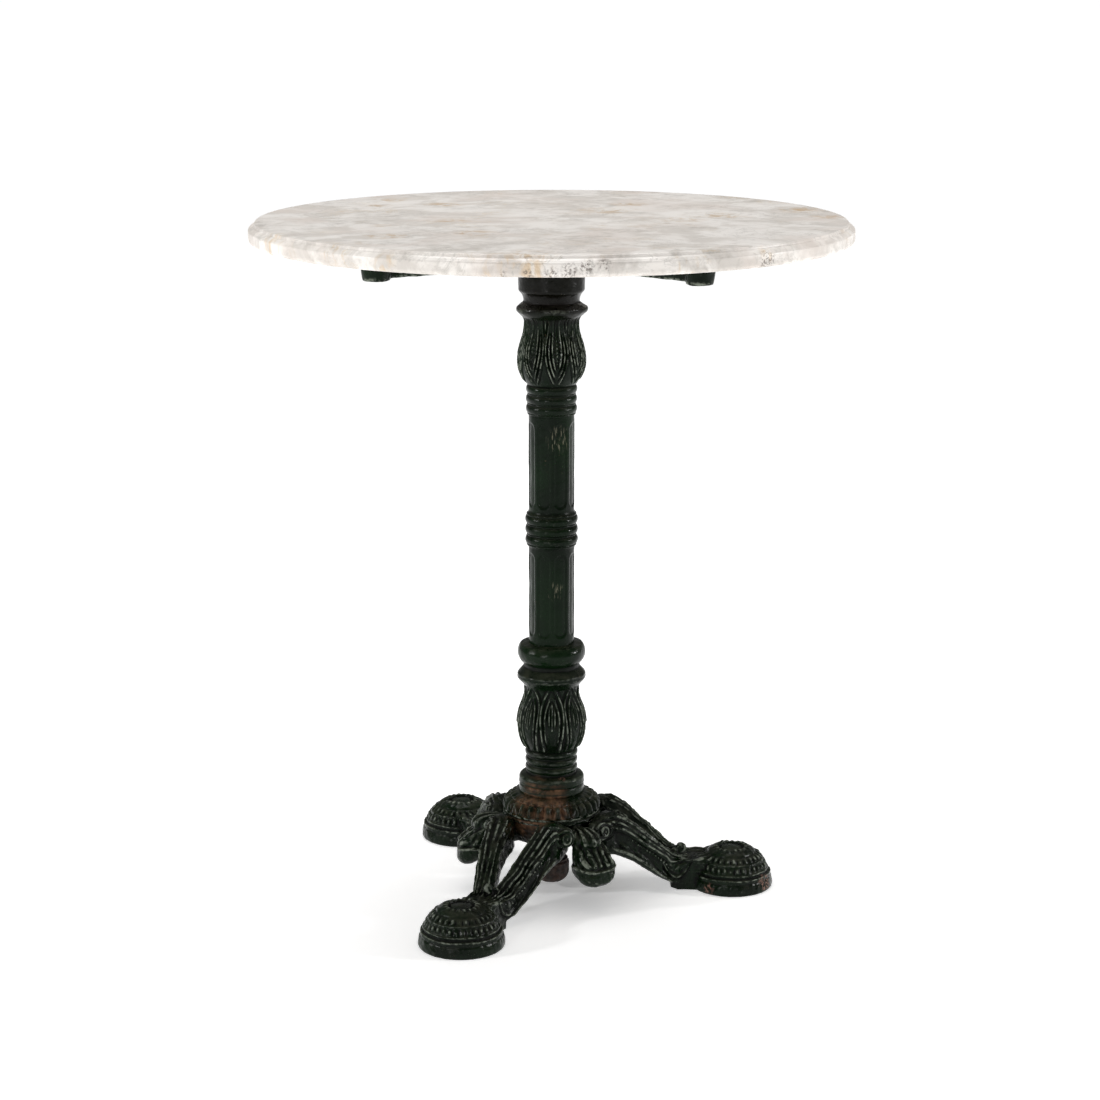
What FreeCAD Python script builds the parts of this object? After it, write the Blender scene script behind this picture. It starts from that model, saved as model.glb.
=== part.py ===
import FreeCAD, Part
import math
import os
import Sketcher

# Bistro table: a round marble slab on a cast iron column with a tripod base.
# One long tie rod pulls the whole column together, from a domed cap nut under
# the base to a nut hidden in the bracket below the slab.
# Millimetres, +Z up. The origin is on the floor, under the middle of the column.
# The first leg points along +X.

SIZES = (
    # The table as a whole
    ("table_height", 700.0),
    ("bore_radius", 15.0),
    ("chamber_radius", 20.0),
    ("spigot_gap", 0.3),
    # Marble slab
    ("slab_radius", 300.0),
    ("slab_thickness", 20.0),
    ("slab_flat_radius", 293.0),
    ("slab_band_height", 12.5),
    ("slab_lower_round", 4.0),
    # Fixing of the slab to the bracket
    ("fixing_radius", 216.0),
    ("pad_thickness", 1.5),
    ("pad_radius", 13.0),
    ("anchor_radius", 5.0),
    ("anchor_length", 13.0),
    ("anchor_hole_depth", 14.0),
    ("screw_radius", 3.0),
    ("screw_length", 25.0),
    ("screw_head_radius", 5.5),
    ("screw_head_height", 4.0),
    ("screw_socket_radius", 2.3),
    ("screw_washer_radius", 7.0),
    ("screw_washer_thickness", 1.6),
    # Four-armed bracket
    ("bracket_turn", 38.0),
    ("bracket_hub_radius", 33.0),
    ("arm_depth", 22.0),
    ("arm_root_depth", 25.0),
    ("arm_flange_width", 20.0),
    ("arm_flange_thickness", 8.0),
    ("arm_rib_thickness", 12.0),
    ("arm_end_radius", 16.5),
    ("arm_end_foot_radius", 13.0),
    ("counterbore_radius", 8.0),
    ("nut_recess_radius", 17.0),
    # Column, from the floor up
    ("hub_top", 86.0),
    ("collar_height", 20.0),
    ("baluster_height", 160.0),
    ("shaft_height", 238.0),
    ("capital_height", 146.0),
    ("shaft_radius", 23.2),
    ("ring_radius", 26.9),
    ("ring_pitch", 10.4),
    ("ring_cove", 3.5),
    ("flute_radius", 60.0),
    ("flute_depth", 1.0),
    ("flute_count", 8.0),
    ("small_bead_radius", 25.7),
    ("upper_bulb_radius", 33.8),
    ("lip_radius", 35.8),
    ("flange_radius", 33.5),
    ("lower_bulb_radius", 35.3),
    ("foot_collar_radius", 33.7),
    ("petal_count", 8.0),
    ("small_spigot_radius", 18.0),
    ("middle_spigot_radius", 20.0),
    ("large_spigot_radius", 25.0),
    ("spigot_length", 6.0),
    ("socket_depth", 7.0),
    # Gadrooned collar
    ("collar_radius", 50.0),
    ("nub_radius", 4.6),
    ("nub_count", 30.0),
    # Base hub with three leaf drops
    ("rim_radius", 51.5),
    ("rim_bead_radius", 2.2),
    ("skirt_top_radius", 49.0),
    ("skirt_foot_radius", 42.0),
    ("skirt_foot", 58.0),
    ("skirt_wall", 6.5),
    ("rod_boss_radius", 11.0),
    ("rod_boss_foot", 32.0),
    ("seat_radius", 49.0),
    ("seat_height", 66.0),
    ("seat_boss_radius", 10.0),
    ("seat_depth", 9.0),
    ("leg_spread", 36.0),
    ("drop_reach", 99.0),
    ("drop_foot", 27.0),
    ("drop_half_width", 21.5),
    # Forked legs
    ("limb_half_width", 12.5),
    ("limb_bow", 6.0),
    ("knuckle_top", 92.0),
    ("knuckle_foot", 47.0),
    ("ankle_reach", 142.0),
    ("ankle_side", 4.0),
    ("ankle_top", 35.0),
    ("ankle_foot", 2.0),
    ("heel_reach", 124.0),
    ("heel_half_width", 19.0),
    ("heel_height", 34.0),
    ("foot_reach", 189.0),
    ("foot_radius", 43.2),
    ("foot_side_height", 15.0),
    ("foot_dome_height", 42.0),
    ("foot_wall", 9.0),
    ("leg_bolt_radius", 4.0),
    ("leg_bolt_length", 20.0),
    ("leg_bolt_head_radius", 7.5),
    ("leg_bolt_head_height", 5.3),
    ("leg_washer_radius", 8.0),
    ("leg_washer_thickness", 1.6),
    # Tie rod
    ("rod_radius", 6.0),
    ("rod_hole_radius", 6.6),
    ("rod_foot", 14.0),
    ("rod_washer_radius", 15.0),
    ("rod_washer_thickness", 2.5),
    ("rod_nut_radius", 11.0),
    ("rod_nut_height", 10.0),
    ("foot_washer_radius", 17.0),
    ("foot_washer_thickness", 2.0),
    ("cap_nut_radius", 18.5),
    ("cap_nut_foot", 7.0),
    ("spanner_hole_radius", 2.5),
    ("thread_gap", 0.1),
)

LEG_COUNT = 3
ARM_COUNT = 4
LEG_NAMES = ("leg_right", "leg_rear", "leg_front")

document = FreeCAD.newDocument("bistro_table")
sheet = document.addObject("Spreadsheet::Sheet", "sizes")
PARTS = []


class Dim:
    """A length that carries its number and the sheet formula that it comes from."""

    def __init__(self, value, text=None):
        self.value = float(value)
        self.text = repr(float(value)) if text is None else text

    def join(self, other, sign, result):
        other = as_dim(other)
        return Dim(result(self.value, other.value), "(%s %s %s)" % (self.text, sign, other.text))

    def __add__(self, other):
        return self.join(other, "+", lambda a, b: a + b)

    def __sub__(self, other):
        return self.join(other, "-", lambda a, b: a - b)

    def __mul__(self, other):
        return self.join(other, "*", lambda a, b: a * b)

    def __truediv__(self, other):
        return self.join(other, "/", lambda a, b: a / b)


def as_dim(value):
    return value if isinstance(value, Dim) else Dim(value)


def size(alias):
    """The named size of the sheet."""
    return Dim(sheet.get(alias), "sizes." + alias)


def fill_sheet():
    for row, (alias, value) in enumerate(SIZES, start=1):
        sheet.set("A%d" % row, alias)
        sheet.set("B%d" % row, str(value))
        sheet.setAlias("B%d" % row, alias)
    document.recompute()


def bind(thing, **values):
    """Set properties of an object from sizes; a double underscore stands for a dot."""
    for name, value in values.items():
        value = as_dim(value)
        path = name.replace("__", ".")
        if "." not in path:
            setattr(thing, path, value.value)
        thing.setExpression(path, value.text)


def part(thing, label):
    """Name a finished sub-part and put it on the list of pieces."""
    thing.Label = label
    PARTS.append(thing)
    return thing


def place(thing, x=0, y=0, z=0, turn=0):
    """Stand a piece at a point, turned about the vertical."""
    thing.Placement = FreeCAD.Placement(
        FreeCAD.Vector(as_dim(x).value, as_dim(y).value, as_dim(z).value),
        FreeCAD.Rotation(FreeCAD.Vector(0, 0, 1), as_dim(turn).value),
    )
    for axis, value in (("x", x), ("y", y), ("z", z)):
        thing.setExpression("Placement.Base." + axis, as_dim(value).text)


# ---- sketches --------------------------------------------------------------


def origin_feature(body, role):
    return next(item for item in body.Origin.OriginFeatures if item.Role == role)


def new_body(name):
    return document.addObject("PartDesign::Body", name)


def new_sketch(body, name, plane, along=0, sideways=0, turn=0):
    """A sketch on an origin plane, moved along its normal and sideways, then turned
    about its own upright axis."""
    sketch = body.newObject("Sketcher::SketchObject", name)
    sketch.AttachmentSupport = [(origin_feature(body, plane), "")]
    sketch.MapMode = "FlatFace"
    along = as_dim(along)
    sideways = as_dim(sideways)
    turn = as_dim(turn)
    sketch.AttachmentOffset = FreeCAD.Placement(
        FreeCAD.Vector(sideways.value, 0, along.value),
        FreeCAD.Rotation(FreeCAD.Vector(0, 1, 0), turn.value),
    )
    sketch.setExpression("AttachmentOffset.Base.x", sideways.text)
    sketch.setExpression("AttachmentOffset.Base.z", along.text)
    return sketch


def lock(sketch, kind, where, value):
    """Add a dimension and bind it to the sheet. A zero dimension is a point on an axis."""
    value = as_dim(value)
    if abs(value.value) < 1e-9 and kind in ("DistanceX", "DistanceY"):
        axis = -2 if kind == "DistanceX" else -1
        sketch.addConstraint(Sketcher.Constraint("PointOnObject", where[0], where[1], axis))
        return
    if kind == "Radius":
        index = sketch.addConstraint(Sketcher.Constraint(kind, where[0], value.value))
    else:
        index = sketch.addConstraint(Sketcher.Constraint(kind, -1, 1, where[0], where[1], value.value))
    sketch.setExpression("Constraints[%d]" % index, value.text)


def bulge_arc(start, end, radius):
    """The short arc between two points; a positive radius bulges to the right of the way."""
    chord = end.sub(start)
    middle = start.add(end).multiply(0.5)
    right = FreeCAD.Vector(chord.y, -chord.x, 0).normalize()
    half = chord.Length / 2
    sagitta = abs(radius) - math.sqrt(radius * radius - half * half)
    top = middle.add(right.multiply(math.copysign(sagitta, radius)))
    return Part.Arc(start, top, end) if radius > 0 else Part.Arc(end, top, start)


def outline(sketch, corners):
    """A closed outline. Each corner is (x, y) or (x, y, radius), where the radius makes
    the stretch to the next corner an arc that bulges outward, or inward if negative."""
    points = [FreeCAD.Vector(as_dim(c[0]).value, as_dim(c[1]).value, 0) for c in corners]
    count = len(corners)
    for i, corner in enumerate(corners):
        start = points[i]
        end = points[(i + 1) % count]
        if len(corner) == 3:
            sketch.addGeometry(bulge_arc(start, end, as_dim(corner[2]).value), False)
        else:
            sketch.addGeometry(Part.LineSegment(start, end), False)
    ends = [arc_ends(sketch.Geometry[i], points[i]) for i in range(count)]
    for i in range(count):
        follower = (i + 1) % count
        sketch.addConstraint(Sketcher.Constraint("Coincident", i, ends[i][1], follower, ends[follower][0]))
    for i, corner in enumerate(corners):
        lock(sketch, "DistanceX", (i, ends[i][0]), corner[0])
        lock(sketch, "DistanceY", (i, ends[i][0]), corner[1])
        if len(corner) == 3:
            radius = as_dim(corner[2])
            sign = math.copysign(1, radius.value)
            lock(sketch, "Radius", (i,), radius if sign > 0 else radius * -1)


def arc_ends(edge, start):
    """The start and the end of an edge, on its way round: an inward arc is drawn backwards."""
    return (1, 2) if edge.StartPoint.sub(start).Length < 1e-6 else (2, 1)


def disc(sketch, radius, x=0, y=0):
    """A circle with its centre at (x, y)."""
    centre = FreeCAD.Vector(as_dim(x).value, as_dim(y).value, 0)
    sketch.addGeometry(Part.Circle(centre, FreeCAD.Vector(0, 0, 1), as_dim(radius).value), False)
    edge = sketch.GeometryCount - 1
    lock(sketch, "Radius", (edge,), radius)
    lock(sketch, "DistanceX", (edge, 3), x)
    lock(sketch, "DistanceY", (edge, 3), y)


def rounded_box(sketch, middle, low, high, half_width, corner):
    """A rectangle with four round corners, for the sections of limbs and leaf drops."""
    left = as_dim(middle) - half_width
    right = as_dim(middle) + half_width
    outline(sketch, (
        (left + corner, low),
        (right - corner, low, corner),
        (right, as_dim(low) + corner),
        (right, as_dim(high) - corner, corner),
        (right - corner, high),
        (left + corner, high, corner),
        (left, as_dim(high) - corner),
        (left, as_dim(low) + corner, corner),
    ))


# ---- features --------------------------------------------------------------


def revolve(body, name, corners):
    """Turn an outline of (radius, height) corners about the upright axis."""
    sketch = new_sketch(body, name + "_outline", "XZ_Plane")
    outline(sketch, corners)
    feature = body.newObject("PartDesign::Revolution", name)
    feature.Profile = sketch
    feature.ReferenceAxis = (sketch, ["V_Axis"])
    feature.Angle = 360
    document.recompute()
    return feature


def pad(body, sketch, name, length, reversed_way=False, both_ways=False):
    feature = body.newObject("PartDesign::Pad", name)
    feature.Profile = sketch
    feature.Reversed = reversed_way
    feature.Midplane = both_ways
    bind(feature, Length=length)
    document.recompute()
    return feature


def pocket(body, sketch, name, length, reversed_way=False):
    """Cut a sketch into the body and make sure that it removed something."""
    volume = body.Shape.Volume
    feature = body.newObject("PartDesign::Pocket", name)
    feature.Profile = sketch
    feature.Reversed = reversed_way
    bind(feature, Length=length)
    document.recompute()
    if body.Shape.Volume > volume - 1e-3:
        raise RuntimeError("the pocket %s cuts nothing" % name)
    return feature


def loft(body, name, sections):
    feature = body.newObject("PartDesign::AdditiveLoft", name)
    feature.Profile = sections[0]
    feature.Sections = sections[1:]
    document.recompute()
    return feature


def round_pattern(body, name, originals, count):
    """Repeat features evenly about the upright axis."""
    feature = body.newObject("PartDesign::PolarPattern", name)
    feature.Originals = originals
    feature.Axis = (origin_feature(body, "Z_Axis"), [""])
    feature.Angle = 360
    feature.Occurrences = int(as_dim(count).value)
    feature.setExpression("Occurrences", as_dim(count).text)
    body.Tip = feature
    document.recompute()
    return feature


# ---- simple turned pieces --------------------------------------------------


def cylinder(name, radius, length):
    thing = document.addObject("Part::Cylinder", name)
    bind(thing, Radius=radius, Height=length)
    return thing


def hexagon(name, radius, length):
    thing = document.addObject("Part::Prism", name)
    thing.Polygon = 6
    bind(thing, Circumradius=radius, Height=length)
    return thing


def cut(name, base, tool):
    thing = document.addObject("Part::Cut", name)
    thing.Base = base
    thing.Tool = tool
    return thing


def fuse(name, *pieces):
    thing = document.addObject("Part::MultiFuse", name)
    thing.Shapes = list(pieces)
    return thing


def ring(name, outer, inner, length):
    """A washer, pad or sleeve: a round plate with a hole through it."""
    return cut(name, cylinder(name + "_plate", outer, length), cylinder(name + "_hole", inner, length))


def group(label, pieces):
    """Several identical pieces that stay separate solids of one node."""
    thing = document.addObject("Part::Compound", label)
    thing.Links = pieces
    return part(thing, label)


# ---- heights that several pieces share ---------------------------------------


def heights():
    """The seats of the stacked column pieces, above the floor."""
    seats = {"collar": size("hub_top")}
    seats["baluster"] = seats["collar"] + size("collar_height")
    seats["shaft"] = seats["baluster"] + size("baluster_height")
    seats["capital"] = seats["shaft"] + size("shaft_height")
    seats["bracket"] = seats["capital"] + size("capital_height")
    seats["slab"] = size("table_height") - size("slab_thickness")
    seats["pads"] = seats["slab"] - size("pad_thickness")
    return seats


# ---- marble slab and its fixings -----------------------------------------------


def make_marble_top(seats):
    """A round slab with a stepped quarter-round edge and four blind holes below."""
    radius = size("slab_radius")
    thick = size("slab_thickness")
    flat = size("slab_flat_radius")
    lower = size("slab_lower_round")
    band = size("slab_band_height")
    step = radius - 1.4
    body = new_body("marble_top")
    revolve(body, "Slab", (
        (0, 0),
        (radius - lower, 0, lower),
        (radius, lower),
        (radius, band),
        (step, band, step - flat),
        (flat + 0.5, thick - 0.6),
        (flat, thick),
        (0, thick),
    ))
    sketch = new_sketch(body, "Anchor_hole_circle", "XY_Plane")
    disc(sketch, size("anchor_radius") + size("spigot_gap"), size("fixing_radius"))
    hole = pocket(body, sketch, "Anchor_hole", size("anchor_hole_depth"), reversed_way=True)
    round_pattern(body, "Anchor_holes", [hole], ARM_COUNT)
    place(body, z=seats["slab"], turn=size("bracket_turn"))
    return part(body, "marble_top")


def fixing_points():
    """The four places where the slab is held, as (x, y) above the ends of the arms."""
    for i in range(ARM_COUNT):
        angle = math.radians(sheet.get("bracket_turn") + 360.0 / ARM_COUNT * i)
        yield size("fixing_radius") * math.cos(angle), size("fixing_radius") * math.sin(angle)


def make_anchors(seats):
    """Brass sleeves with an inner thread, bonded into the slab."""
    pieces = []
    for i, (x, y) in enumerate(fixing_points()):
        bore = size("screw_radius") + size("thread_gap")
        sleeve = ring("anchor_%d" % i, size("anchor_radius"), bore, size("anchor_length"))
        place(sleeve, x, y, seats["slab"])
        pieces.append(sleeve)
    return group("marble_anchors", pieces)


def make_pads(seats):
    """Thin rubber discs that keep the iron off the marble."""
    pieces = []
    for i, (x, y) in enumerate(fixing_points()):
        hole = size("screw_radius") + size("spigot_gap")
        disc_pad = ring("pad_%d" % i, size("pad_radius"), hole, size("pad_thickness"))
        place(disc_pad, x, y, seats["pads"])
        pieces.append(disc_pad)
    return group("bracket_pads", pieces)


def screw_seat(seats):
    """The ceiling of the counterbores, which the screw washers press on."""
    reach = size("screw_length") - size("pad_thickness") - size("anchor_length") + 1.0
    return seats["pads"] - reach + size("screw_washer_thickness")


def make_screw_washers(seats):
    pieces = []
    for i, (x, y) in enumerate(fixing_points()):
        hole = size("screw_radius") + size("spigot_gap")
        thick = size("screw_washer_thickness")
        washer = ring("screw_washer_%d" % i, size("screw_washer_radius"), hole, thick)
        place(washer, x, y, screw_seat(seats) - thick)
        pieces.append(washer)
    return group("bracket_screw_washers", pieces)


def make_screws(seats):
    """Socket-head screws, put in from below through the ends of the arms."""
    pieces = []
    head_height = size("screw_head_height")
    for i, (x, y) in enumerate(fixing_points()):
        head = cylinder("screw_head_%d" % i, size("screw_head_radius"), head_height)
        shank = cylinder("screw_shank_%d" % i, size("screw_radius"), size("screw_length") + head_height)
        blank = fuse("screw_blank_%d" % i, head, shank)
        socket = hexagon("screw_socket_%d" % i, size("screw_socket_radius"), head_height * 0.6)
        screw = cut("screw_%d" % i, blank, socket)
        place(screw, x, y, screw_seat(seats) - size("screw_washer_thickness") - head_height)
        pieces.append(screw)
    return group("bracket_screws", pieces)


# ---- bracket under the slab ------------------------------------------------------


def make_bracket(seats):
    """A cast cross: a round hub and four T-section arms that end in tapered bosses."""
    height = (seats["pads"] - seats["bracket"])
    body = new_body("top_bracket")
    hub = size("bracket_hub_radius")
    spigot = size("large_spigot_radius") - size("spigot_gap")
    recess = height - size("rod_washer_thickness") - size("rod_nut_height") - 1.5
    revolve(body, "Hub", (
        (size("rod_hole_radius"), Dim(0) - size("spigot_length")),
        (spigot, Dim(0) - size("spigot_length")),
        (spigot, 0),
        (hub, 0),
        (hub, height),
        (size("nut_recess_radius"), height),
        (size("nut_recess_radius"), recess),
        (size("rod_hole_radius"), recess),
    ))
    root = hub - 3.0
    end = size("fixing_radius")
    half = size("arm_flange_width") / 2
    boss_foot = height - size("arm_depth")

    flange_sketch = new_sketch(body, "Arm_flange_outline", "XY_Plane", height)
    outline(flange_sketch, (
        (root, Dim(0) - half),
        (end, Dim(0) - half),
        (end, half),
        (root, half),
    ))
    flange = pad(body, flange_sketch, "Arm_flange", size("arm_flange_thickness"), reversed_way=True)

    rib_sketch = new_sketch(body, "Arm_rib_outline", "XZ_Plane")
    outline(rib_sketch, (
        (root, height - size("arm_root_depth")),
        (end, height - size("arm_depth") * 0.9),
        (end, height),
        (root, height),
    ))
    rib = pad(body, rib_sketch, "Arm_rib", size("arm_rib_thickness"), both_ways=True)

    boss_sketch = new_sketch(body, "Arm_end_foot", "XY_Plane", boss_foot)
    disc(boss_sketch, size("arm_end_foot_radius"), end)
    top_sketch = new_sketch(body, "Arm_end_top", "XY_Plane", height)
    disc(top_sketch, size("arm_end_radius"), end)
    boss = loft(body, "Arm_end", [boss_sketch, top_sketch])

    bore_sketch = new_sketch(body, "Counterbore_circle", "XY_Plane", boss_foot)
    disc(bore_sketch, size("counterbore_radius"), end)
    seat_depth = screw_seat(seats) - seats["bracket"] - boss_foot
    counterbore = pocket(body, bore_sketch, "Counterbore", seat_depth, reversed_way=True)
    hole_sketch = new_sketch(body, "Screw_hole_circle", "XY_Plane", boss_foot)
    disc(hole_sketch, size("screw_radius") + size("spigot_gap"), end)
    hole = pocket(body, hole_sketch, "Screw_hole", size("arm_depth"), reversed_way=True)

    round_pattern(body, "Arms", [flange, rib, boss, counterbore, hole], ARM_COUNT)
    place(body, z=seats["bracket"], turn=size("bracket_turn"))
    return part(body, "top_bracket")


# ---- column castings ---------------------------------------------------------------


def spigot_and_bore(spigot_radius):
    """The first corners of a column casting: its bore and the spigot below its seat."""
    bore = size("bore_radius")
    spigot = size(spigot_radius) - size("spigot_gap")
    foot = Dim(0) - size("spigot_length")
    return ((bore, foot), (spigot, foot), (spigot, 0))


def socket(socket_radius, top):
    """The last corners of a column casting: the socket for the piece above it."""
    bore = size("bore_radius")
    return ((size(socket_radius), top), (size(socket_radius), top - size("socket_depth")),
            (bore, top - size("socket_depth")))


def chamber(high, low):
    """Corners of a wider room inside a casting, which keeps its wall even."""
    bore = size("bore_radius")
    wide = size("chamber_radius")
    return ((bore, high), (wide, as_dim(high) - 8.0), (wide, as_dim(low) + 8.0), (bore, low))


def beads(first, last, groove, radius, count):
    """Corners of a row of round beads between two heights."""
    pitch = (as_dim(last) - first) / count
    swell = as_dim(radius) - groove
    round_radius = (pitch * pitch / 4 + swell * swell) / (swell * 2)
    return tuple((groove, pitch * i + first, round_radius) for i in range(count))


def make_capital(seats):
    """The leaf bulb at the head of the column, with a flared lip and a flange above."""
    top = size("capital_height")
    bead = size("small_bead_radius")
    bulb = size("upper_bulb_radius")
    flange = size("flange_radius")
    lip = size("lip_radius")
    body = new_body("capital")
    revolve(body, "Bulb", spigot_and_bore("small_spigot_radius")
            + beads(0.0, 30.0, bead - 0.9, bead, 3)
            + ((bead - 0.9, 30.0, 37.0),
               (bulb, 55.5, 66.0),
               (30.2, 75.0, -58.0),
               (27.3, 90.0),
               (27.3, 94.0, -9.0),
               (lip - 4.4, 100.3),
               (lip - 0.6, 104.4, 4.6),
               (lip - 0.5, 109.0),
               (28.4, 113.8),
               (28.2, 115.2, -14.0),
               (flange - 1.3, 124.0, 4.0),
               (flange, 127.5),
               (flange, top))
            + socket("large_spigot_radius", top)
            + chamber(130.0, 30.0))
    add_petal_grooves(body, 31.0, 94.0, bulb)
    place(body, z=seats["capital"])
    return part(body, "capital")


def add_petal_grooves(body, low, high, bulb):
    """Shallow furrows that part the swelling of a bulb into petals."""
    middle = (as_dim(low) + high) / 2
    half = (as_dim(high) - low) / 2
    sketch = new_sketch(body, "Furrow_outline", "XZ_Plane")
    outline(sketch, (
        (as_dim(bulb) - 5.0, middle - half * 0.7, (half * half * 0.49 + 25.0) / 8.0),
        (as_dim(bulb) - 5.0, middle + half * 0.55),
        (as_dim(bulb) + 4.0, middle + half * 0.55),
        (as_dim(bulb) + 4.0, middle - half * 0.7),
    ))
    volume = body.Shape.Volume
    furrow = body.newObject("PartDesign::Pocket", "Furrow")
    furrow.Profile = sketch
    furrow.Midplane = True
    bind(furrow, Length=1.6)
    document.recompute()
    if body.Shape.Volume > volume - 1e-3:
        raise RuntimeError("the furrows of %s cut nothing" % body.Name)
    round_pattern(body, "Furrows", [furrow], size("petal_count"))


def make_shaft(seats):
    """The long tube with shallow panels, and three rings around its middle."""
    top = size("shaft_height")
    radius = size("shaft_radius")
    ring_radius = size("ring_radius")
    pitch = size("ring_pitch")
    middle = top / 2
    low = middle - pitch * 1.5
    high = middle + pitch * 1.5
    cove = size("ring_cove")
    bore = size("bore_radius")
    body = new_body("shaft")
    revolve(body, "Tube", (
        (bore, size("socket_depth")),
        (size("small_spigot_radius"), size("socket_depth")),
        (size("small_spigot_radius"), 0),
        (radius, 0),
        (radius, low - cove, -6.0),
    ) + beads(low, high, ring_radius - 1.1, ring_radius, 3) + (
        (ring_radius - 1.1, high, -6.0),
        (radius, high + cove),
        (radius, top),
    ) + socket("small_spigot_radius", top))
    flute_length = low - cove - 12.0
    depth = size("flute_radius") - size("flute_depth")
    flutes = []
    for name, foot in (("Lower_flute", Dim(8.0)), ("Upper_flute", high + cove + 4.0)):
        sketch = new_sketch(body, name + "_circle", "XY_Plane", foot)
        disc(sketch, size("flute_radius"), radius + depth)
        flutes.append(pocket(body, sketch, name, flute_length, reversed_way=True))
    round_pattern(body, "Flutes", flutes, size("flute_count"))
    place(body, z=seats["shaft"], turn=Dim(180.0) / size("flute_count"))
    return part(body, "shaft")


def make_baluster(seats):
    """The leaf bulb at the foot of the column, between a foot collar and two upper rolls."""
    top = size("baluster_height")
    collar = size("foot_collar_radius")
    lip = size("lip_radius")
    bulb = size("lower_bulb_radius")
    bead = size("small_bead_radius") + 1.4
    body = new_body("baluster")
    revolve(body, "Bulb", spigot_and_bore("middle_spigot_radius")
            + ((collar - 1.0, 0),
               (collar, 1.5),
               (collar, 15.5, 4.0),
               (collar - 2.5, 19.0),
               (bead - 0.9, 20.5))
            + beads(21.5, 46.5, bead - 0.9, bead, 3)
            + ((bead - 0.9, 46.5, 43.0),
               (bulb, 73.7, 53.0),
               (31.5, 93.0, -44.0),
               (27.6, 107.5),
               (27.5, 112.3, -7.0),
               (29.4, 116.0),
               (lip - 1.2, 122.0, 5.5),
               (lip - 1.5, 128.6),
               (28.8, 134.8),
               (28.8, 137.0, -4.0),
               (29.8, 139.2, 14.1),
               (31.8, 158.8),
               (size("shaft_radius") + 1.4, top))
            + upper_spigot(top)
            + chamber(150.0, 30.0))
    add_petal_grooves(body, 47.0, 112.0, bulb)
    place(body, z=seats["baluster"])
    return part(body, "baluster")


def upper_spigot(top):
    """The short spigot on top of the baluster, which the tube above stands over."""
    spigot = size("small_spigot_radius") - size("spigot_gap")
    rise = top + size("spigot_length")
    return ((spigot, top), (spigot, rise), (size("bore_radius"), rise))


def make_collar(seats):
    """The domed ring between column and base, with a row of nubs around it."""
    top = size("collar_height")
    radius = size("collar_radius")
    body = new_body("gadroon_collar")
    revolve(body, "Dome", spigot_and_bore("large_spigot_radius")
            + ((radius, 0),
               (radius, 4.0, 19.0),
               (34.5, top))
            + socket("middle_spigot_radius", top))
    nub = body.newObject("PartDesign::AdditiveSphere", "Nub")
    nub.AttachmentSupport = [(origin_feature(body, "XY_Plane"), "")]
    nub.MapMode = "FlatFace"
    bind(nub, Radius=size("nub_radius"))
    bind(nub, AttachmentOffset__Base__x=radius - size("nub_radius"), AttachmentOffset__Base__z=7.0)
    document.recompute()
    round_pattern(body, "Nubs", [nub], size("nub_count"))
    place(body, z=seats["collar"])
    return part(body, "gadroon_collar")


# ---- base ----------------------------------------------------------------------------


def make_base_hub():
    """A shallow dish: rim and skirt outside, rod boss inside, six seats for the limbs
    and three leaf drops that hang between the legs."""
    top = size("hub_top")
    rim = size("rim_radius")
    bead = size("rim_bead_radius")
    wall = size("skirt_wall")
    ceiling = top - 9.0
    socket_radius = size("large_spigot_radius")
    body = new_body("base_hub")
    revolve(body, "Dish", (
        (size("rod_hole_radius"), size("rod_boss_foot")),
        (size("rod_boss_radius"), size("rod_boss_foot")),
        (size("rod_boss_radius"), ceiling),
        (size("skirt_top_radius") - wall, ceiling),
        (size("skirt_foot_radius") - wall, size("skirt_foot")),
        (size("skirt_foot_radius"), size("skirt_foot")),
        (size("skirt_top_radius"), top - bead * 2),
        (rim - bead, top - bead * 2, bead * 1.02),
        (rim - bead, top),
        (socket_radius, top),
        (socket_radius, top - size("socket_depth")),
        (size("rod_hole_radius"), top - size("socket_depth")),
    ))
    originals = [make_drop(body)]
    for side, name in ((1, "Left"), (-1, "Right")):
        originals += make_seat(body, name, side * (60.0 - sheet.get("leg_spread")))
    round_pattern(body, "Drops_and_seats", originals, LEG_COUNT)
    place(body, turn=60)
    return part(body, "base_hub")


def make_drop(body):
    """One leaf drop, lofted outward from the skirt: a slim neck, then a full round tip."""
    reach = size("drop_reach")
    foot = size("drop_foot")
    half = size("drop_half_width")
    stations = (
        (Dim(44.0), Dim(61.0), Dim(80.0), Dim(7.0)),
        (Dim(53.0), Dim(54.0), Dim(80.5), Dim(7.5)),
        (Dim(66.0), foot + 14.0, Dim(74.0), half * 0.75),
        (reach - 14.0, foot + 1.0, Dim(62.0), half),
        (reach - 4.0, foot + 2.0, Dim(50.0), half * 0.8),
        (reach, foot + 7.0, Dim(40.0), half * 0.4),
    )
    sections = []
    for i, (out, low, high, half_width) in enumerate(stations):
        sketch = new_sketch(body, "Drop_section_%d" % i, "YZ_Plane", out)
        rounded_box(sketch, 0, low, high, half_width, half_width * 0.7)
        sections.append(sketch)
    return loft(body, "Drop", sections)


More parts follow.
